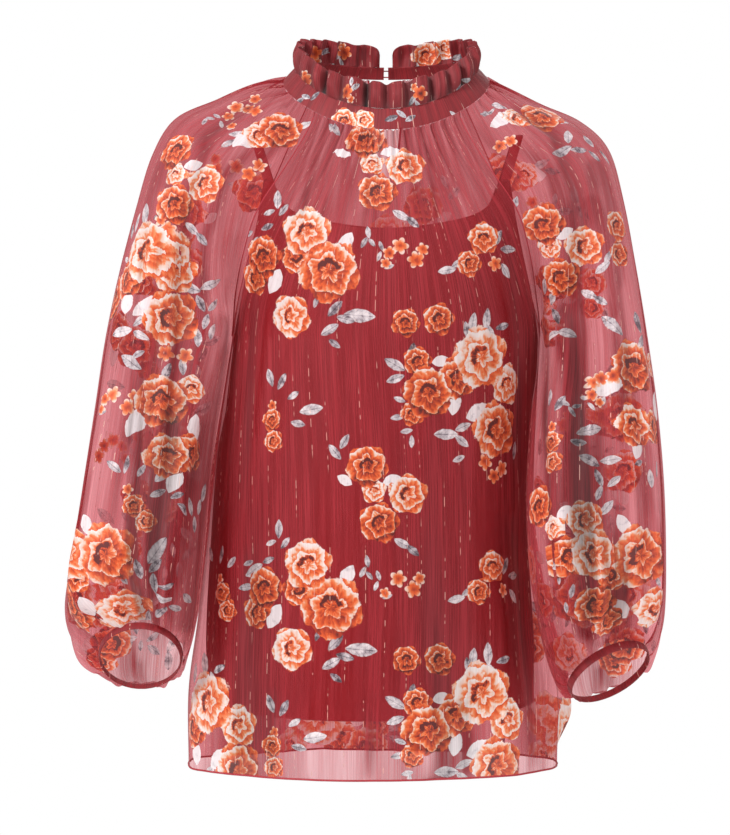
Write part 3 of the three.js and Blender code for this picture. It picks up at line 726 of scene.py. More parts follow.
def overlap_shade(points, normals, lines):
    """How deep the painted shade of the doubled cloth is, with a soft edge on either side of each line."""
    total = 0
    for line, width, depth in lines:
        front = crease_depth(points, normals, [(line, width, 1)], (0, 0), -1)
        back = crease_depth(points, normals, [(line, width, 1)], BACK_SHIFT, 1)
        total = total + depth * smoothstep(front + back, *OVERLAP_EDGE)
    return np.clip(total, 0, 1)


# Meshes


def grid_faces(rows, count, flip, kept=None):
    i, j = np.meshgrid(np.arange(rows - 1), np.arange(count - 1), indexing="ij")
    corner = i * count + j
    around = [corner, corner + count, corner + count + 1, corner + 1]
    faces = np.stack(around[::-1] if flip else around, axis=-1)
    faces = faces if kept is None else faces[kept]
    return faces.reshape(-1, 4)


def make_mesh(name, points, faces, cloth_uv=None, layers=None, fold_shade=None):
    """An object from points in millimetres and quads. cloth_uv holds each point's place on the flat cloth,
    and the last argument is painted fold shade: a ridge, above 0, is painted lighter and a trough, below 0,
    darker."""
    mesh = bpy.data.meshes.new(name)
    mesh.from_pydata((points * MM).tolist(), [], faces.tolist())
    mesh.polygons.foreach_set("use_smooth", np.ones(len(mesh.polygons), bool))
    if cloth_uv is not None:
        layer = mesh.uv_layers.new(name="cloth")
        layer.uv.foreach_set("vector", (cloth_uv[faces.ravel()] * MM).ravel())
    for key, values in (layers or {}).items():
        attribute = mesh.attributes.new(key, "FLOAT_VECTOR", "CORNER")
        attribute.data.foreach_set("vector", values.ravel())
    if fold_shade is not None:
        mesh.attributes.new("fold_shade", "FLOAT", "POINT").data.foreach_set("value", fold_shade.ravel())
    mesh.update()
    piece = bpy.data.objects.new(name, mesh)
    bpy.context.scene.collection.objects.link(piece)
    return piece


def print_layers(points, normals, faces, prints):
    """For every face corner and layer, the place inside the motif that lies there, in units of its size.
    prints holds lists of clusters, and for each the side that faces the viewer: -1 is front and 1 is back."""
    layers = {
        f"{kind}_{k}": np.tile(np.array(NOWHERE), (len(faces), 4, 1))
        for kind, count in LAYERS.items()
        for k in range(count)
    }
    taken = {key: np.zeros(len(faces), bool) for key in layers}
    for clusters, view, depth in prints:
        facing = normals[:, 1] * view > PRINT_FACING
        for cluster, cluster_x, cluster_z, cluster_turn in clusters:
            a = math.radians(cluster_turn)
            for kind, dx, dz, size, turn, tone in CLUSTERS[cluster]:
                x = cluster_x + (dx * math.cos(a) - dz * math.sin(a)) * -view
                z = cluster_z + dx * math.sin(a) + dz * math.cos(a)
                gap = (points[:, 0] - x) ** 2 + (points[:, 2] - z) ** 2
                gap = np.where(facing, gap + DEPTH_SHARE * (points[:, 1] - depth) ** 2, np.inf)
                centre = int(np.argmin(gap))
                place = points[centre]
                if math.hypot(place[0] - x, place[2] - z) > PRINT_NEAR * size:
                    continue
                motif = (kind, size, turn + cluster_turn, tone)
                put_motif(layers, taken, points, normals, faces, centre, motif)
    return layers


def put_motif(layers, taken, points, normals, faces, centre, motif):
    """Writes one motif into the first layer of its kind that is free there."""
    kind, size, turn, tone = motif
    kind, tone = ("leaf", 1 + tone) if kind == "petal" else (kind, tone)
    normal = normals[centre]
    level = unit(np.cross([0, 0, 1.0], normal))
    rise = np.cross(normal, level)
    a = math.radians(turn)
    first = level * math.cos(a) + rise * math.sin(a)
    second = rise * math.cos(a) - level * math.sin(a)
    away = points - points[centre]
    local = np.stack([away @ first, away @ second], axis=1) / size
    near = (np.linalg.norm(local, axis=1) < MOTIF_REACH) & (np.abs(away @ normal) < size)
    near = near & (normals @ normal > MOTIF_TURN)
    here = near[faces].any(axis=1)
    for key in layers:
        if key.startswith(kind) and not (taken[key] & here).any():
            taken[key] |= here
            values = np.concatenate([local, np.full((len(local), 1), tone)], axis=1)
            layers[key][here] = values[faces[here]]
            return


def cloth_piece(name, points, sign, cloth_uv, prints, flip=False, kept=None, merged=None, fold_shade=None):
    """A printed sheet from a grid of points. merged gives each point the one that it is welded to."""
    rows, count = points.shape[:2]
    faces = grid_faces(rows, count, flip, kept)
    normals = normals_of(points, sign).reshape(-1, 3)
    points = points.reshape(-1, 3)
    if merged is not None:
        faces = merged[faces]
    layers = print_layers(points, normals, faces, prints)
    return make_mesh(name, points, faces, cloth_uv.reshape(-1, 2), layers, fold_shade)


def cloth_chart(points, across):
    """Places on the flat cloth: across as given, and the length down each column."""
    down = np.cumsum(np.linalg.norm(np.diff(points, axis=0), axis=2), axis=0)
    down = np.concatenate([np.zeros((1, points.shape[1])), down])
    return np.stack(np.broadcast_arrays(across, -down), axis=-1)


def tube(name, line, radius, closed=False):
    """A round cord of cloth along a line of points."""
    line = np.asarray(line, float)
    after, before = np.roll(line, -1, axis=0), np.roll(line, 1, axis=0)
    if not closed:
        after[-1], before[0] = line[-1], line[0]
    forward = unit(after - before)
    up = np.where((np.abs(forward[:, 2]) > 0.9)[:, None], [0, 1.0, 0], [0, 0, 1.0])
    side = unit(np.cross(forward, up))
    lift = np.cross(side, forward)
    turn = np.linspace(0, 2 * math.pi, TUBE_SIDES + 1)[:, None, None]
    rings = line + radius * (np.cos(turn) * side + np.sin(turn) * lift)
    rings = np.concatenate([rings, rings[:, :1]], axis=1) if closed else rings
    length = np.concatenate([[0], np.cumsum(np.linalg.norm(np.diff(rings[0], axis=0), axis=1))])
    around = turn[:, :, 0] * radius
    cloth_uv = np.stack(np.broadcast_arrays(around, length), axis=-1)
    faces = grid_faces(rings.shape[0], rings.shape[1], False)
    return make_mesh(name, rings.reshape(-1, 3), faces, cloth_uv.reshape(-1, 2))


def joined(name, pieces):
    """Several objects as one."""
    with bpy.context.temp_override(active_object=pieces[0], selected_editable_objects=pieces):
        bpy.ops.object.join()
    pieces[0].name = name
    pieces[0].data.name = name
    return pieces[0]


# The body and the sleeves

BODY_FULLNESS = 1.75
SLEEVE_FLAT_HALF = 230
# The depths of crease and of relief that count as a full ridge or trough of painted fold shade
FULL_DEPTH = {"body": (2.5, 3), "sleeve": (4, 7)}
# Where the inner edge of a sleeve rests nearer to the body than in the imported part
CLOSE_TO_BODY = {
    "left": {"row": 8.2, "rows": 2.2, "shift": 6.0},
    "right": {"row": 7.3, "rows": 0.9, "shift": 2.5},
}


def keyhole_half(row):
    return KEYHOLE["half"] * np.sqrt(np.clip(1 - (row / KEYHOLE["bottom_row"]) ** 2, 0, None))


def fold_shade_of(kind, creases, relief):
    """How much a place counts as a ridge, up to 1, or as a trough, down to -1, for the painted shade that
    makes ridges lighter and troughs darker.
    """
    deep_crease, deep_relief = FULL_DEPTH[kind]
    return np.clip(creases / deep_crease + relief / deep_relief, -1, 1)


def body_relief(face, row, u):
    folds = fold_depth(BODY_FOLDS[face], u, smoothstep(row, *HEM_ROWS)) * smoothstep(row, *BODY_FOLD_ROWS)
    gathers = neck_gathers(u, row, NECK_GATHERS["body"]) + gather_depth(u, *EVEN_GATHERS["body"])
    return (1 - u**RELIEF_FADE) * (folds + gathers)


def body_grid(face):
    rows = even_rows(lambda r: body_point(face, r, 0 * r), BODY_HEM, BODY_GRID[0])
    half = np.linspace(0, 1, BODY_GRID[1] // 2)
    places = np.concatenate([-half[::-1], half if face == "back" else half[1:]])
    row, u = np.meshgrid(rows, places, indexing="ij")
    return row, u


def body_shell(face):
    sign = -1 if face == "front" else 1
    row, u = body_grid(face)
    points = body_point(face, row, u)
    normals = normals_of(points, sign)
    creases = (1 - u**CREASE_FADE) * all_creases(points, normals, CREASES["body"])
    relief = body_relief(face, row, u)
    points = points + normals * (relief + creases)[..., None]
    # Painted shade: ridges of the creases and relief are painted lighter and troughs darker
    fold_shade = fold_shade_of("body", creases, relief)
    kept = merged = None
    if face == "back":
        middle = BODY_GRID[1] // 2
        towards = np.where(np.arange(u.shape[1]) < middle, -1.0, 1.0)
        points[..., 0] += towards * keyhole_half(row) * (1 - np.abs(u)) ** 2
        kept = np.ones((u.shape[0] - 1, u.shape[1] - 1), bool)
        kept[:, middle - 1] = False
        merged = np.arange(u.size).reshape(u.shape)
        joined_rows = row[:, 0] >= KEYHOLE["bottom_row"]
        merged[joined_rows, middle] = merged[joined_rows, middle - 1]
        merged = merged.ravel()
    seams = np.maximum(row, UNDERARM)
    in_view = u * along(SIDE_SEAMS, "half", seams) + along(SIDE_SEAMS, "sway", seams)
    chart = cloth_chart(points, in_view * BODY_FULLNESS)
    if face == "front":
        prints = [(PRINTS["front"], -1, -PRINT_DEPTH)]
    else:
        moved = [(c, -x + BACK_PRINT_SHIFT[0], z + BACK_PRINT_SHIFT[1], t) for c, x, z, t in PRINTS["front"]]
        prints = [(moved, 1, PRINT_DEPTH)]
    piece = cloth_piece(f"{face}_cloth", points, sign, chart, prints, face == "back", kept, merged, fold_shade)
    return piece, points, row


def sleeve_relief(row, s):
    folds = fold_depth(SLEEVE_FOLDS, s, 0) * smoothstep(row, *SLEEVE_FOLD_ROWS)
    folds = folds * (1 - 0.6 * smoothstep(row, *WRIST_FOLD_ROWS))
    gathers = neck_gathers(s, row, NECK_GATHERS["sleeve"]) + gather_depth(s, *EVEN_GATHERS["sleeve"])
    wrist = 0
    for count, depth, start, end in WRIST_GATHERS:
        wrist = wrist + gather_depth(s, count, depth) * smoothstep(row, start, end)
    wrist = wrist * (1 - 0.5 * smoothstep(row, *CUFF_EDGE_ROWS))
    return (1 - s**RELIEF_FADE) * (folds + gathers) + wrist


def sleeve_shell(side):
    sign = -SIDES[side]
    rows = even_rows(lambda r: sleeve_point(side, r, 0 * r), CUFF_ROW, SLEEVE_GRID[0])
    row, s = np.meshgrid(rows, np.linspace(-1, 1, SLEEVE_GRID[1]), indexing="ij")
    points = sleeve_point(side, row, s)
    normals = normals_of(points, sign)
    creases = (1 - s**CREASE_FADE) * all_creases(points, normals, CREASES[side])
    relief = sleeve_relief(row, s)
    points = points + normals * (relief + creases)[..., None]
    # Painted shade of ridges and troughs, with the doubled overlaps painted as troughs
    fold_shade = fold_shade_of("sleeve", creases, relief) - overlap_shade(points, normals, SHADED_OVERLAPS[side])
    close = CLOSE_TO_BODY[side]
    by_body = np.exp(-(((row - close["row"]) / close["rows"]) ** 2)) * s**8
    points[..., 0] -= SIDES[side] * close["shift"] * by_body
    chart = cloth_chart(points, s * SLEEVE_FLAT_HALF)
    moved = [(c, x - BACK_PRINT_SHIFT[0], z + BACK_PRINT_SHIFT[1], t) for c, x, z, t in PRINTS[side]]
    prints = [(PRINTS[side], -1, -PRINT_DEPTH), (moved, 1, PRINT_DEPTH)]
    piece = cloth_piece(f"sleeve_{side}_cloth", points, sign, chart, prints, SIDES[side] < 0, fold_shade=fold_shade)
    return piece, points, row


# The collar


def towards_back(angle):
    """0 at the centre front, and 1 at the centre back, where the collar is lower."""
    return (1 - np.cos(np.radians(angle))) / 2


def band_point(angle, t):
    """The stand collar's face: t runs from the neck seam up to the ruffle's seam."""
    a = np.radians(angle)
    base = neck_point(angle)
    height = BAND["height"] + BAND["front_extra"] * np.maximum(0, np.cos(a)) ** 2
    height = height - BAND["back_less"] * towards_back(angle)
    inward_x, inward_y = -BAND["narrow_x"] * t * np.sin(a), BAND["narrow_y"] * t * np.cos(a)
    return base + stack(inward_x, inward_y, BAND["seat"] + height * t)


def doubled(outer, out, wall):
    """The two faces of folded cloth, from the rows of its outer face, foot first, round its top edge."""
    turn = np.linspace(0, math.pi, 7)[1:-1, None, None]
    top = outer[-1] - out * wall / 2
    up = stack(0, 0, 1)
    cap = top + (wall / 2) * (np.cos(turn) * out + np.sin(turn) * up)
    return np.concatenate([outer, cap, (outer - out * wall)[::-1]])


def neck_band():
    reach = 180 - BAND["end_angle"]
    t, angle = np.meshgrid(np.linspace(0, 1, 12), np.linspace(-reach, reach, BAND_COLUMNS), indexing="ij")
    out = neck_out(angle)
    crown = BAND["crown"] * np.sin(math.pi * t) + gather_depth(angle / 180, 60, 0.12)
    outer = band_point(angle, t * 0.98) + out * crown[..., None]
    points = doubled(outer, out[0], BAND["wall"])
    chart = cloth_chart(points, angle[0] * math.radians(NECK["half"]))
    prints = [(PRINTS["band"], -1, -PRINT_DEPTH)]
    return cloth_piece("neck_band_cloth", points, 1, chart, prints, False)


def ruffle_surface(t, angle):
    reach = 180 - RUFFLE["end_angle"]
    to_end = (reach - np.abs(angle)) * math.radians(NECK["half"])
    bend = np.clip(to_end / RUFFLE["corner"], 0, 1)
    full_height = RUFFLE["height"] - RUFFLE["back_less"] * towards_back(angle)
    height = full_height * (0.5 + 0.5 * np.sqrt(1 - (1 - bend) ** 2))
    wave = gather_depth(angle / 180, RUFFLE["waves"], 1)
    valley = np.clip((1 - wave) / 2, 0, 1) ** 2.2
    fine = gather_depth(angle / 180, 61, 0.5 + 0.3 * t)
    bulge = 1 + RUFFLE["bulge"] * np.sin(math.pi * np.clip(t * 1.1, 0, 1))
    pleat = RUFFLE["pleat"] - RUFFLE["valley"] * valley
    depth = lerp(RUFFLE["foot"], RUFFLE["crest"], t) * bulge * pleat + fine
    lift = (gather_depth(angle / 180, 9, 0.8) - RUFFLE["scallop"] * valley) * t * bend
    out = neck_out(angle)
    points = band_point(angle, 1.0)
    points[..., 2] += RUFFLE["seat"] + height * t + lift
    return points + out * (RUFFLE["flare"] * t**2 + depth)[..., None], out


def collar_ruffle():
    reach = 180 - RUFFLE["end_angle"]
    t, angle = np.meshgrid(np.linspace(0, 1, 18), np.linspace(-reach, reach, RUFFLE_COLUMNS), indexing="ij")
    outer, out = ruffle_surface(t, angle)
    points = doubled(outer, out[0], RUFFLE["wall"])
    chart = cloth_chart(points, angle[0] * math.radians(NECK["half"]) * 1.6)
    prints = [(PRINTS["ruffle"], -1, -PRINT_DEPTH), (PRINTS["ruffle_inside"], -1, PRINT_DEPTH)]
    # Painted shade: narrow dark valleys between the pleats and darker cloth near the ruffle's foot on the
    # outer face, dark gathers on the inner face, and half of the top row's shade round its folded top
    wave = gather_depth(angle / 180, RUFFLE["waves"], 1)
    outer_shade = -2.2 * np.clip((1 - wave) / 2, 0, 1) ** 4 - 0.8 * (1 - t) ** 3
    inner_shade = -1.2 * np.clip((1 + gather_depth(angle / 180, 37, 1)) / 2, 0, 1) ** 3 * (1 - 0.6 * t)
    edge = np.repeat(outer_shade[-1:] * 0.5, len(points) - 2 * len(wave), axis=0)
    fold_shade = np.concatenate([outer_shade, edge, inner_shade[::-1]])
    return cloth_piece("collar_ruffle_cloth", points, 1, chart, prints, False, fold_shade=fold_shade)


# The cuffs


def cuff_middle(side):
    row = np.array([CUFF_ROW] * 2, float)
    return sleeve_form(side, row, np.array([-0.5, 0.5])).mean(axis=0)


def cuff_axis(side):
    middle = cuff_middle(side)
    row = np.array([CUFF_ROW] * 2, float)
    top, back = sleeve_form(side, row, np.array([0, 0.5])) - middle
    axis = unit(np.cross(top, back))
    return axis if axis[2] < 0 else -axis


def cuff_band(side):
    s = np.linspace(-1, 1, CUFF_COLUMNS)
    row = np.full_like(s, CUFF_ROW)
    ring = sleeve_form(side, row, s)
    edge = np.gradient(ring, axis=0)
    edge[0] = edge[-1] = ring[1] - ring[-2]
    axis = cuff_axis(side)
    out = unit(np.cross(edge, axis))
    out = out * np.sign((out * (ring - cuff_middle(side))).sum(axis=1, keepdims=True))
    profile = []
    for turn in np.linspace(0, 2 * math.pi, 25):
        depth = CUFF["wall"] * 0.5 * (np.sign(math.cos(turn)) * abs(math.cos(turn)) ** 0.6 - 1)
        drop = CUFF["height"] * 0.5 * (1 + np.sign(math.sin(turn)) * abs(math.sin(turn)) ** 0.6)
        pucker = gather_depth(s, 34, 0.3)[:, None] * math.cos(turn) * 0.5
        inward = CUFF["narrow"] * drop / CUFF["height"]
        profile.append(ring + axis * (CUFF["seat"] + drop) + out * (depth + 0.3 - inward) + out * pucker)
    points = np.array(profile)
    chart = cloth_chart(points, s * 120)
    return cloth_piece(f"cuff_{side}_cloth", points, 1, chart, [], SIDES[side] > 0)


# The camisole


def camisole_point(face, u, drop):
    middle_y = SLEEVES["left"]["foot_y"][UNDERARM]
    angle = (math.pi / 2) * u
    reach = along(CAMISOLE, face, drop, "drop")
    return stack(
        along(CAMISOLE, "half", drop, "drop") * np.sin(angle) + along(CAMISOLE, "sway", drop, "drop"),
        middle_y + (reach - middle_y) * np.cos(angle),
        -drop,
    )


def camisole_top(face, u):
    """Its top edge: a scoop between the straps, a tab under each, and an armhole down to the underarm."""
    scoop = LINING[face + "_scoop"]
    inner, outer = STRAP["at"] - STRAP["tab"], STRAP["at"] + STRAP["tab"]
    at = np.clip(np.abs(u) / inner, 0, 1)
    past = np.clip((np.abs(u) - outer) / (1 - outer), 0, 1)
    neckline = lerp(scoop, LINING["strap_top"], 0.5 * at**1.6 + 0.5 * at**8)
    return np.where(past > 0, lerp(LINING["strap_top"], LINING["underarm"], past**0.6), neckline)


LINING_SPREAD = 4.0


def lining_panel(face):
    t, u = np.meshgrid(np.linspace(0, 1, LINING_GRID[0]), np.linspace(-1, 1, LINING_GRID[1]), indexing="ij")
    hem = LINING["hem"] - LINING["side_rise"] * u**2
    drop = lerp(camisole_top(face, u), hem, t)
    points = camisole_point(face, u, drop)
    sign = -1 if face == "front" else 1
    normals = normals_of(points, sign)
    soft = gather_depth(u, *LINING_GATHERS) * smoothstep(drop, 260, 500) * (1 - u**8)
    points = points + normals * soft[..., None]
    beside = smoothstep(drop, 300, 350) * (1 - smoothstep(drop, 520, 590)) * np.abs(u) ** 5
    points[..., 0] += np.sign(u) * LINING_SPREAD * beside
    faces = grid_faces(*LINING_GRID, face == "back")
    chart = cloth_chart(points, u * 230)
    piece = make_mesh(f"lining_{face}_cloth", points.reshape(-1, 3), faces, chart.reshape(-1, 2))
    hem_roll = tube(f"lining_{face}_hem", points[-1] + stack(0, 0, 0.5), 0.6)
    neck_roll = tube(f"lining_{face}_top", points[0] + stack(0, 0, -0.4), 0.7)
    return piece, joined(f"lining_{face}_edges", [hem_roll, neck_roll])


def strap_band(side):
    u = SIDES[side] * STRAP["at"]
    ends = [camisole_point(face, np.array(u), camisole_top(face, np.array(u))) for face in FACES]
    t = np.linspace(0, 1, 70)[:, None]
    arch = 1 - np.abs(2 * t - 1) ** 2.4
    line = lerp(ends[0], ends[1], t)
    line[:, :1] += SIDES[side] * STRAP["bow"] * arch
    line[:, 2:] += 0.4 + (LINING["strap_top"] - STRAP["top"]) * arch
    forward = unit(np.gradient(line, axis=0))
    forward[0], forward[-1] = (0, 0, 1), (0, 0, -1)
    across = unit(np.array([1.0, 0, 0]) - forward * forward[:, :1])
    out = np.cross(across, forward)
    rings = []
    for turn in np.linspace(0, 2 * math.pi, 17):
        wide = STRAP["width"] / 2 * np.sign(math.cos(turn)) * abs(math.cos(turn)) ** 0.5
        thick = 0.45 * np.sign(math.sin(turn)) * abs(math.sin(turn)) ** 0.5
        rings.append(line + across * wide + out * (thick - 0.6))
    points = np.array(rings)
    faces = grid_faces(*points.shape[:2], True)
    chart = cloth_chart(points, (t[:, 0] * 120)[None, :])
    return make_mesh(f"strap_{side}_cloth", points.reshape(-1, 3), faces, chart.reshape(-1, 2))


# Shader nodes


def srgb(*parts):
    """A linear colour from the 0 to 255 parts that a picture shows."""
    def linear(c):
        return c / 12.92 if c <= 0.04045 else ((c + 0.055) / 1.055) ** 2.4
    return (*(linear(p / 255) for p in parts), 1.0)


class Nodes:
    """Short calls for making shader nodes in one tree."""

    def __init__(self, tree):
        self.tree = tree

    def add(self, kind, inputs=None, **settings):
        node = self.tree.nodes.new(kind)
        for name, value in settings.items():
            setattr(node, name, value)
        for key, value in (inputs or {}).items():
            self.feed(node.inputs[key], value)
        return node

    def feed(self, socket, value):
        if isinstance(value, bpy.types.NodeSocket):
            self.tree.links.new(value, socket)
        else:
            socket.default_value = value

    def math(self, operation, a, b=0.0, c=0.0, clamp=False):
        inputs = {0: a, 1: b, 2: c}
        return self.add("ShaderNodeMath", inputs, operation=operation, use_clamp=clamp).outputs[0]

    def mottled(self, light, grain, amount, clamp=False):
        """light, moved up and down by a grain that lies round a half."""
        return self.math("MULTIPLY_ADD", self.math("SUBTRACT", grain, 0.5), amount, light, clamp)

    def length(self, a):
        return self.add("ShaderNodeVectorMath", {0: a}, operation="LENGTH").outputs["Value"]

    def split(self, vector):
        return self.add("ShaderNodeSeparateXYZ", {0: vector}).outputs

    def join(self, x=0.0, y=0.0, z=0.0):
        return self.add("ShaderNodeCombineXYZ", {0: x, 1: y, 2: z}).outputs[0]

    def ramp_step(self, value, low, high):
        """0 below low and 1 above high."""
        inputs = {"Value": value, "From Min": low, "From Max": high}
        return self.add("ShaderNodeMapRange", inputs, interpolation_type="SMOOTHSTEP").outputs[0]

    def noise(self, vector, scale, detail=2.0, roughness=0.5):
        inputs = {"Vector": vector, "Scale": scale, "Detail": detail, "Roughness": roughness}
        return self.add("ShaderNodeTexNoise", inputs).outputs[0]

    def mix(self, factor, a, b):
        node = self.add("ShaderNodeMix", data_type="RGBA")
        for key, value in (("Factor_Float", factor), ("A_Color", a), ("B_Color", b)):
            socket = next(s for s in node.inputs if s.identifier == key)
            self.feed(socket, value)
        return next(s for s in node.outputs if s.identifier == "Result_Color")

    def colours(self, factor, stops):
        node = self.add("ShaderNodeValToRGB", {"Fac": factor})
        elements = node.color_ramp.elements
        while len(elements) < len(stops):
            elements.new(0.5)
        for element, (at, colour) in zip(elements, stops):
            element.position = at
            element.color = colour
        return node.outputs[0]


def motif_group(name, draw):
    """A node group that turns a place inside a motif into its colour and its mask."""
    tree = bpy.data.node_groups.new(name, "ShaderNodeTree")
    tree.interface.new_socket("Place", in_out="INPUT", socket_type="NodeSocketVector")
    tree.interface.new_socket("Grain", in_out="INPUT", socket_type="NodeSocketFloat")
    tree.interface.new_socket("Colour", in_out="OUTPUT", socket_type="NodeSocketColor")
    tree.interface.new_socket("Mask", in_out="OUTPUT", socket_type="NodeSocketFloat")
    s = Nodes(tree)
    given = s.add("NodeGroupInput").outputs
    colour, mask = draw(s, given["Place"], given["Grain"])
    s.add("NodeGroupOutput", {"Colour": colour, "Mask": mask})
    return tree


ROSE_COLOURS = [
    (0.0, srgb(92, 26, 22)),
    (0.18, srgb(184, 58, 26)),
    (0.42, srgb(240, 100, 40)),
    (0.6, srgb(248, 150, 96)),
    (0.72, srgb(254, 218, 198)),
    (1.0, srgb(255, 246, 242)),
]
LEAF_COLOURS = [
    (0.0, srgb(58, 46, 54)),
    (0.32, srgb(126, 118, 128)),
    (0.55, srgb(196, 190, 196)),
    (1.0, srgb(250, 244, 246)),
]


def draw_rose(s, place, grain):
    x, y, tone = s.split(place)
    flat = s.join(x, y)
    radius = s.length(flat)
    turn = s.math("ARCTAN2", y, x)
    uneven = s.math("MULTIPLY_ADD", grain, 0.3, s.math("SUBTRACT", radius, 0.15))
    lobes = s.math("COSINE", s.math("MULTIPLY_ADD", turn, 5.0, s.math("MULTIPLY", tone, 37.0)))
    edge = s.math("MULTIPLY_ADD", lobes, 0.07, 0.86)
    mask = s.ramp_step(s.math("SUBTRACT", edge, uneven), 0.0, 0.035)
    coil = s.math("MULTIPLY_ADD", turn, -1 / (2 * math.pi), s.math("MULTIPLY", uneven, 2.7))
    petal = s.math("FRACT", s.math("MULTIPLY_ADD", lobes, 0.2, coil))
    rim = s.math("POWER", petal, 1.5)
    outer = s.math("MULTIPLY_ADD", radius, 0.42, 0.34)
    streaks = s.math("SINE", s.math("MULTIPLY_ADD", turn, 19.0, s.math("MULTIPLY", grain, 14.0)))
    light = s.math("MULTIPLY_ADD", rim, outer, s.math("MULTIPLY_ADD", tone, 0.62, -0.1))
    light = s.math("MULTIPLY_ADD", streaks, 0.07, light)
    light = s.math("MULTIPLY_ADD", y, 0.2, light)
    cup = s.ramp_step(s.math("ABSOLUTE", s.math("SUBTRACT", uneven, 0.26)), 0.1, 0.04)
    cup_shadow = s.math("MULTIPLY", cup, s.ramp_step(y, -0.06, 0.1))
    light = s.math("MULTIPLY_ADD", cup_shadow, -0.6, light)
    heart = s.ramp_step(uneven, 0.2, 0.06)
    light = s.math("MULTIPLY_ADD", heart, -0.14, light)
    light = s.mottled(light, grain, 0.5, clamp=True)
    return s.colours(light, ROSE_COLOURS), mask


def draw_blossom(s, place, grain):
    x, y, tone = s.split(place)
    flat = s.join(x, y)
    radius = s.length(flat)
    turn = s.math("ARCTAN2", y, x)
    phase = s.math("MULTIPLY_ADD", turn, 2.5, s.math("MULTIPLY", tone, 9.0))
    lobes = s.math("ABSOLUTE", s.math("COSINE", phase))
    edge = s.math("MULTIPLY_ADD", lobes, 0.4, 0.55)
    mask = s.ramp_step(s.math("SUBTRACT", edge, radius), 0.0, 0.08)
    light = s.math("MULTIPLY_ADD", radius, 0.75, s.math("MULTIPLY_ADD", tone, 0.4, -0.12))
    light = s.mottled(light, grain, 0.8, clamp=True)
    return s.colours(light, ROSE_COLOURS), mask


def draw_leaf(s, place, grain):
    """A pointed leaf with a midrib. A tone above 1 is a loose petal, plain and pale."""
    x, y, tone = s.split(place)
    is_petal = s.math("GREATER_THAN", tone, 1.0)
    shade = s.math("SUBTRACT", tone, is_petal)
    across = s.math("ABSOLUTE", y)
    inside = s.math("SUBTRACT", 1.0, s.math("MULTIPLY", x, x), clamp=True)
    width = s.math("MULTIPLY", s.math("MULTIPLY_ADD", is_petal, 0.16, 0.44), s.math("POWER", inside, 0.85))
    width = s.math("MULTIPLY", width, s.math("MULTIPLY_ADD", grain, 0.5, 0.75))
    mask = s.ramp_step(s.math("SUBTRACT", width, across), 0.0, 0.05)
    midrib = s.ramp_step(across, 0.05, 0.015)
    ribs = s.math("FRACT", s.math("MULTIPLY_ADD", across, -3.2, s.math("MULTIPLY", x, 3.4)))
    side_vein = s.ramp_step(s.math("ABSOLUTE", s.math("SUBTRACT", ribs, 0.5)), 0.1, 0.03)
    veins = s.math("MAXIMUM", midrib, s.math("MULTIPLY", side_vein, 0.6))
    veins = s.math("MULTIPLY", veins, s.math("SUBTRACT", 1.0, is_petal))
    light = s.math("MULTIPLY_ADD", shade, 0.62, 0.28)
    light = s.mottled(light, grain, 2.0)
    light = s.math("MULTIPLY_ADD", veins, -0.32, light)
    light = s.math("ADD", light, s.math("MULTIPLY", is_petal, 0.25), clamp=True)
    return s.colours(light, LEAF_COLOURS), mask


MOTIFS = {
    "leaf": motif_group("leaf", draw_leaf),
    "blossom": motif_group("blossom", draw_blossom),
    "rose": motif_group("rose", draw_rose),
}

DYE = srgb(176, 42, 54)
DYE_DEEP = srgb(150, 32, 44)
SEEN_THROUGH = srgb(250, 202, 206)
METAL_THREAD = srgb(246, 200, 184)
LINING_DYE = srgb(158, 32, 40)
METAL_GAP = 0.019
PRINT_GRAIN = 130.0
PRINT_COVER = 0.93
FINE_LINES = (880, 15, 1)
BROAD_LINES = (150, 5, 1)
BROAD_SHARE = 0.4
DRIFT_LINES = (34, 3, 1)
DRIFT_COVER = 0.4
CRINKLE_LIGHT = 0.16
LEAST_LIGHT = 0.9
METAL_SHARE = 0.7
# How a ridge, 1, or a trough, -1, changes the cover, as painted shade that makes ridges lighter and troughs
# darker, and how much darker a trough's colour is painted as shade
FOLD_SHADE_COVER = -0.34
TROUGH_SHADE = 0.34


def new_material(name):
    material = bpy.data.materials.new(name)
    material.use_nodes = True
    material.node_tree.nodes.clear()
    return material, Nodes(material.node_tree)


def crepe(s):
    """The crinkle's fine uneven lines along the grain, from 0 to 1, and the flat cloth's own place."""
    flat = s.add("ShaderNodeUVMap", uv_map="cloth").outputs[0]
    fine = s.add("ShaderNodeMapping", {"Vector": flat, "Scale": FINE_LINES}).outputs[0]
    broad = s.add("ShaderNodeMapping", {"Vector": flat, "Scale": BROAD_LINES}).outputs[0]
    fine_lines = s.math("MULTIPLY", s.noise(fine, 1.0, 2.0), 1 - BROAD_SHARE)
    lines = s.math("MULTIPLY_ADD", s.noise(broad, 1.0, 2.0), BROAD_SHARE, fine_lines)
    return flat, s.ramp_step(lines, 0.34, 0.66)


def metal_threads(s, flat):
    """Broken pin lines of metal thread along the grain."""
    x, y, _ = s.split(flat)
    at = s.math("MULTIPLY", x, 1 / METAL_GAP)
    line = s.math("FLOOR", at)
    wander = s.add("ShaderNodeTexWhiteNoise", {"W": line}, noise_dimensions="1D").outputs["Value"]
    middle = s.math("MULTIPLY_ADD", wander, 0.5, 0.25)
    gap = s.math("ABSOLUTE", s.math("SUBTRACT", s.math("FRACT", at), middle))
    on_line = s.ramp_step(gap, 0.026, 0.01)
    dash = s.noise(s.join(s.math("MULTIPLY", line, 5.7), s.math("MULTIPLY", y, 130.0)), 1.0, 1.0)
    stretch = s.noise(s.join(s.math("MULTIPLY", line, 3.1), s.math("MULTIPLY", y, 16.0)), 1.0, 0.0)
    shown = s.math("MULTIPLY", s.ramp_step(dash, 0.5, 0.56), s.ramp_step(stretch, 0.44, 0.52))
    return s.math("MULTIPLY", on_line, shown)


def dyed(colour, depth):
    return (colour[0] * depth, colour[1] * depth * depth, colour[2] * depth * depth, 1.0)


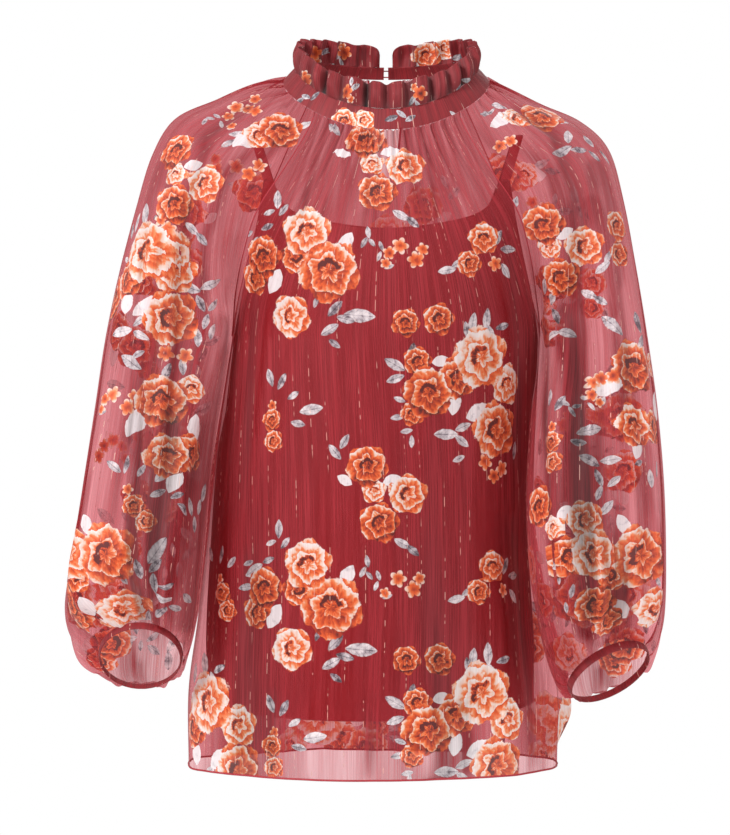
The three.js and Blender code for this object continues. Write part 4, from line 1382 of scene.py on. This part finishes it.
def printed_cloth(name, thin, thick, glow, shade, depth=1.0):
    """Sheer crinkled cloth with the print. thin and thick are how much a gap and a crinkle of the cloth
    cover, glow is the share of light from behind, shade is the tint of its shadow, and depth below 1 darkens
    the dye where the cloth is folded double."""
    material, s = new_material(name)
    flat, crinkle = crepe(s)
    colour = s.mix(crinkle, dyed(DYE_DEEP, depth), dyed(DYE, depth))
    # Painted shade from the ridge and trough attribute: ridges get thinner cover and look lighter, and troughs
    # get thicker cover
    fold_shade = s.add("ShaderNodeAttribute", attribute_name="fold_shade").outputs["Fac"]
    cover = s.math("MULTIPLY_ADD", crinkle, thick - thin, thin)
    cover = s.math("MULTIPLY_ADD", fold_shade, FOLD_SHADE_COVER, cover)
    drifts = s.add("ShaderNodeMapping", {"Vector": flat, "Scale": DRIFT_LINES}).outputs[0]
    drift = s.math("SUBTRACT", s.noise(drifts, 1.0, 1.0), 0.5)
    cover = s.math("MULTIPLY_ADD", drift, DRIFT_COVER, cover, clamp=True)
    grain = s.noise(flat, PRINT_GRAIN, 3.0, 0.6)
    for kind in ("leaf", "blossom", "rose"):
        for k in range(LAYERS[kind]):
            place = s.add("ShaderNodeAttribute", attribute_name=f"{kind}_{k}").outputs["Vector"]
            motif = s.add("ShaderNodeGroup", node_tree=MOTIFS[kind])
            s.feed(motif.inputs["Place"], place)
            s.feed(motif.inputs["Grain"], grain)
            mask = motif.outputs["Mask"]
            colour = s.mix(mask, colour, motif.outputs["Colour"])
            cover = s.math("MULTIPLY_ADD", mask, s.math("SUBTRACT", PRINT_COVER, cover), cover)
    # Painted shade: the colour is darkened in troughs
    shaded = s.add("ShaderNodeVectorMath", {0: colour}, operation="SCALE")
    trough = s.math("MINIMUM", fold_shade, 0.0)
    painted_trough_shade = s.math("MULTIPLY_ADD", trough, TROUGH_SHADE, LEAST_LIGHT)
    s.feed(shaded.inputs["Scale"], s.math("MULTIPLY_ADD", crinkle, CRINKLE_LIGHT, painted_trough_shade))
    colour = shaded.outputs[0]
    metal = metal_threads(s, flat)
    colour = s.mix(s.math("MULTIPLY", metal, METAL_SHARE), colour, METAL_THREAD)
    cover = s.math("MAXIMUM", cover, metal)
    bump = s.add("ShaderNodeBump", {"Strength": 0.5, "Distance": 0.0006, "Height": crinkle}).outputs[0]
    inputs = {"Base Color": colour, "Roughness": 0.62, "Sheen Weight": 0.15, "Normal": bump}
    front = s.add("ShaderNodeBsdfPrincipled", inputs).outputs[0]
    through = s.add("ShaderNodeBsdfTranslucent", {"Color": colour, "Normal": bump}).outputs[0]
    cloth = s.add("ShaderNodeMixShader", {0: glow, 1: front, 2: through}).outputs[0]
    clear = s.add("ShaderNodeBsdfTransparent", {"Color": SEEN_THROUGH}).outputs[0]
    shown = s.add("ShaderNodeMixShader", {0: cover, 1: clear, 2: cloth}).outputs[0]
    shadow = s.add("ShaderNodeBsdfTransparent", {"Color": shade}).outputs[0]
    is_shadow = s.add("ShaderNodeLightPath").outputs["Is Shadow Ray"]
    surface = s.add("ShaderNodeMixShader", {0: is_shadow, 1: shown, 2: shadow}).outputs[0]
    s.add("ShaderNodeOutputMaterial", {"Surface": surface})
    return material


def lining_cloth():
    material, s = new_material("lining")
    flat = s.add("ShaderNodeUVMap", uv_map="cloth").outputs[0]
    threads = s.add("ShaderNodeMapping", {"Vector": flat, "Scale": (900, 60, 1)}).outputs[0]
    weave = s.noise(threads, 1.0, 2.0)
    cloudy = s.noise(flat, 22.0, 2.0)
    tone = s.math("MULTIPLY_ADD", cloudy, 0.5, s.math("MULTIPLY", weave, 0.5))
    colour = s.colours(tone, [(0.3, srgb(142, 26, 34)), (0.7, LINING_DYE)])
    bump = s.add("ShaderNodeBump", {"Strength": 0.3, "Distance": 0.0003, "Height": weave}).outputs[0]
    inputs = {"Base Color": colour, "Roughness": 0.55, "Normal": bump}
    surface = s.add("ShaderNodeBsdfPrincipled", inputs).outputs[0]
    s.add("ShaderNodeOutputMaterial", {"Surface": surface})
    return material


def thread_cloth(name, dark, light, roughness=0.6):
    """Folded cloth or thread too narrow for the print, with a fine twist."""
    material, s = new_material(name)
    place = s.add("ShaderNodeTexCoord").outputs["Object"]
    grain = s.noise(place, 900.0, 2.0)
    colour = s.colours(grain, [(0.35, dark), (0.65, light)])
    bump = s.add("ShaderNodeBump", {"Strength": 0.4, "Distance": 0.0002, "Height": grain}).outputs[0]
    inputs = {"Base Color": colour, "Roughness": roughness, "Normal": bump}
    surface = s.add("ShaderNodeBsdfPrincipled", inputs).outputs[0]
    s.add("ShaderNodeOutputMaterial", {"Surface": surface})
    return material


def floor_paint():
    material, s = new_material("pale_floor")
    place = s.add("ShaderNodeTexCoord").outputs["Object"]
    grain = s.noise(place, 6.0, 2.0)
    colour = s.colours(grain, [(0.3, srgb(238, 237, 235)), (0.7, srgb(244, 243, 241))])
    surface = s.add("ShaderNodeBsdfPrincipled", {"Base Color": colour, "Roughness": 0.8}).outputs[0]
    s.add("ShaderNodeOutputMaterial", {"Surface": surface})
    return material


CLOTH = printed_cloth("printed_chiffon", 0.46, 0.72, 0.35, (0.46, 0.28, 0.29, 1.0))
SLEEVE_CLOTH = printed_cloth("sleeve_chiffon", 0.3, 0.62, 0.35, (0.5, 0.32, 0.33, 1.0))
DOUBLE_CLOTH = printed_cloth("doubled_chiffon", 0.86, 0.96, 0.2, (0.12, 0.05, 0.05, 1.0), 0.72)
LINING_CLOTH = lining_cloth()
EDGE_CLOTH = thread_cloth("edge_cloth", DYE_DEEP, DYE)
THREAD = thread_cloth("sewing_thread", srgb(128, 34, 40), srgb(176, 66, 70))
BUTTON_SHELL = thread_cloth("button_shell", srgb(96, 20, 26), srgb(118, 30, 36), 0.3)


def dress(piece, material, slot, *nodes):
    """Gives a piece its material and body, and hides the CAD nodes that it stands for. slot is not used."""
    piece.data.materials.append(material)
    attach(piece, "root")
    if nodes:
        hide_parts(*nodes)
    return piece


def sleeve_seam(side, end):
    """A raglan seam as a raised line: end is -1 at the front and 1 at the back."""
    row = np.linspace(0.02, UNDERARM, 90)
    line = sleeve_point(side, row, np.full_like(row, end))
    return tube("seam", line, 0.5)


def build_blouse():
    sheets = {}
    for face in FACES:
        piece, points, row = body_shell(face)
        dress(piece, CLOTH, "printed_chiffon", f"{face}_body")
        hem = tube(f"{face}_hem", points[-1], 0.9)
        dress(hem, EDGE_CLOTH, "printed_chiffon")
        sheets[f"{face}_body"] = (piece, [hem])
        if face == "back":
            middle = BODY_GRID[1] // 2
            open_rows = row[:, 0] < KEYHOLE["bottom_row"]
            left = points[open_rows, middle - 1]
            right = points[open_rows, middle]
            binding = tube("keyhole_binding", np.concatenate([left, right[::-1]]), 1.0)
            dress(binding, EDGE_CLOTH, "printed_chiffon")
            sheets["back_body"][1].append(binding)
    for side in SIDES:
        piece, _, _ = sleeve_shell(side)
        dress(piece, SLEEVE_CLOTH, "sleeve_chiffon", f"sleeve_{side}")
        seams = joined(f"raglan_seams_{side}", [sleeve_seam(side, -1.0), sleeve_seam(side, 1.0)])
        dress(seams, EDGE_CLOTH, "sleeve_chiffon")
        sheets[f"sleeve_{side}"] = (piece, [seams])
        cuff = dress(cuff_band(side), DOUBLE_CLOTH, "collar_chiffon", f"cuff_{side}")
        sheets[f"cuff_{side}"] = (cuff, [])
        strap = dress(strap_band(side), LINING_CLOTH, "lining", f"strap_{side}")
        sheets[f"strap_{side}"] = (strap, [])
    sheets["neck_band"] = (dress(neck_band(), DOUBLE_CLOTH, "collar_chiffon", "neck_band"), [])
    sheets["collar_ruffle"] = (dress(collar_ruffle(), DOUBLE_CLOTH, "collar_chiffon", "collar_ruffle"), [])
    for face in FACES:
        piece, edges = lining_panel(face)
        dress(piece, LINING_CLOTH, "lining", f"lining_{face}")
        dress(edges, LINING_CLOTH, "lining")
        sheets[f"lining_{face}"] = (piece, [edges])
    return sheets


def finish_kept_nodes():
    for name, material in (("back_button", BUTTON_SHELL), ("button_loop", THREAD)):
        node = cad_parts[name]
        for slot in node.material_slots:
            slot.link = "OBJECT"
            slot.material = material


def add_camera():
    data = bpy.data.cameras.new("camera")
    data.sensor_fit = "HORIZONTAL"
    data.sensor_width = CAMERA["sensor"]
    data.lens = CAMERA["sensor"] * CAMERA["distance"] / CAMERA["view_width"]
    camera = bpy.data.objects.new("camera", data)
    camera.location = (CAMERA["x"] * MM, -CAMERA["distance"] * MM, CAMERA["z"] * MM)
    camera.rotation_euler = (math.pi / 2, 0, 0)
    bpy.context.scene.collection.objects.link(camera)
    bpy.context.scene.camera = camera


def add_light(name, place, size, power):
    data = bpy.data.lights.new(name, "AREA")
    data.shape = "DISK"
    data.size = size
    data.energy = power
    light = bpy.data.objects.new(name, data)
    light.location = place
    aim = np.array(LIT_PLACE) - np.array(place)
    flat = math.hypot(aim[0], aim[1])
    light.rotation_euler = (math.atan2(flat, -aim[2]), 0, math.atan2(-aim[0], aim[1]))
    bpy.context.scene.collection.objects.link(light)


# Each light's place and size in metres, and its power in watts. STUDIO_LIGHT is the strength of the light
# from all round, and the camera sees a plain white behind the blouse.
LIGHTS = {
    "key": ((-1.5, -1.7, 1.1), 0.8, 66),
    "fill": ((1.6, -1.6, 0.2), 1.4, 16),
    "rim": ((0.4, 2.0, 0.8), 1.4, 18),
}
LIT_PLACE = (0, 0, -0.3)
STUDIO_LIGHT = 0.58
FLOOR_RADIUS = 1.0
FLOOR_PLACE = (0, 0, -0.95)


def add_studio():
    scene = bpy.context.scene
    scene.view_settings.view_transform = "Standard"
    world = bpy.data.worlds.new("studio")
    world.use_nodes = True
    scene.world = world
    world.node_tree.nodes.clear()
    s = Nodes(world.node_tree)
    seen = s.add("ShaderNodeLightPath").outputs["Is Camera Ray"]
    strength = s.math("MULTIPLY_ADD", seen, 1 - STUDIO_LIGHT, STUDIO_LIGHT)
    back = s.add("ShaderNodeBackground", {"Color": (1, 1, 1, 1), "Strength": strength}).outputs[0]
    s.add("ShaderNodeOutputWorld", {"Surface": back})
    for name, (place, size, power) in LIGHTS.items():
        add_light(name, place, size, power)
    bpy.ops.mesh.primitive_circle_add(radius=FLOOR_RADIUS, vertices=96, location=FLOOR_PLACE, fill_type="NGON")
    floor = bpy.context.object
    floor.name = "floor"
    floor.data.materials.append(floor_paint())


add_camera()
add_studio()
build_blouse()
finish_kept_nodes()
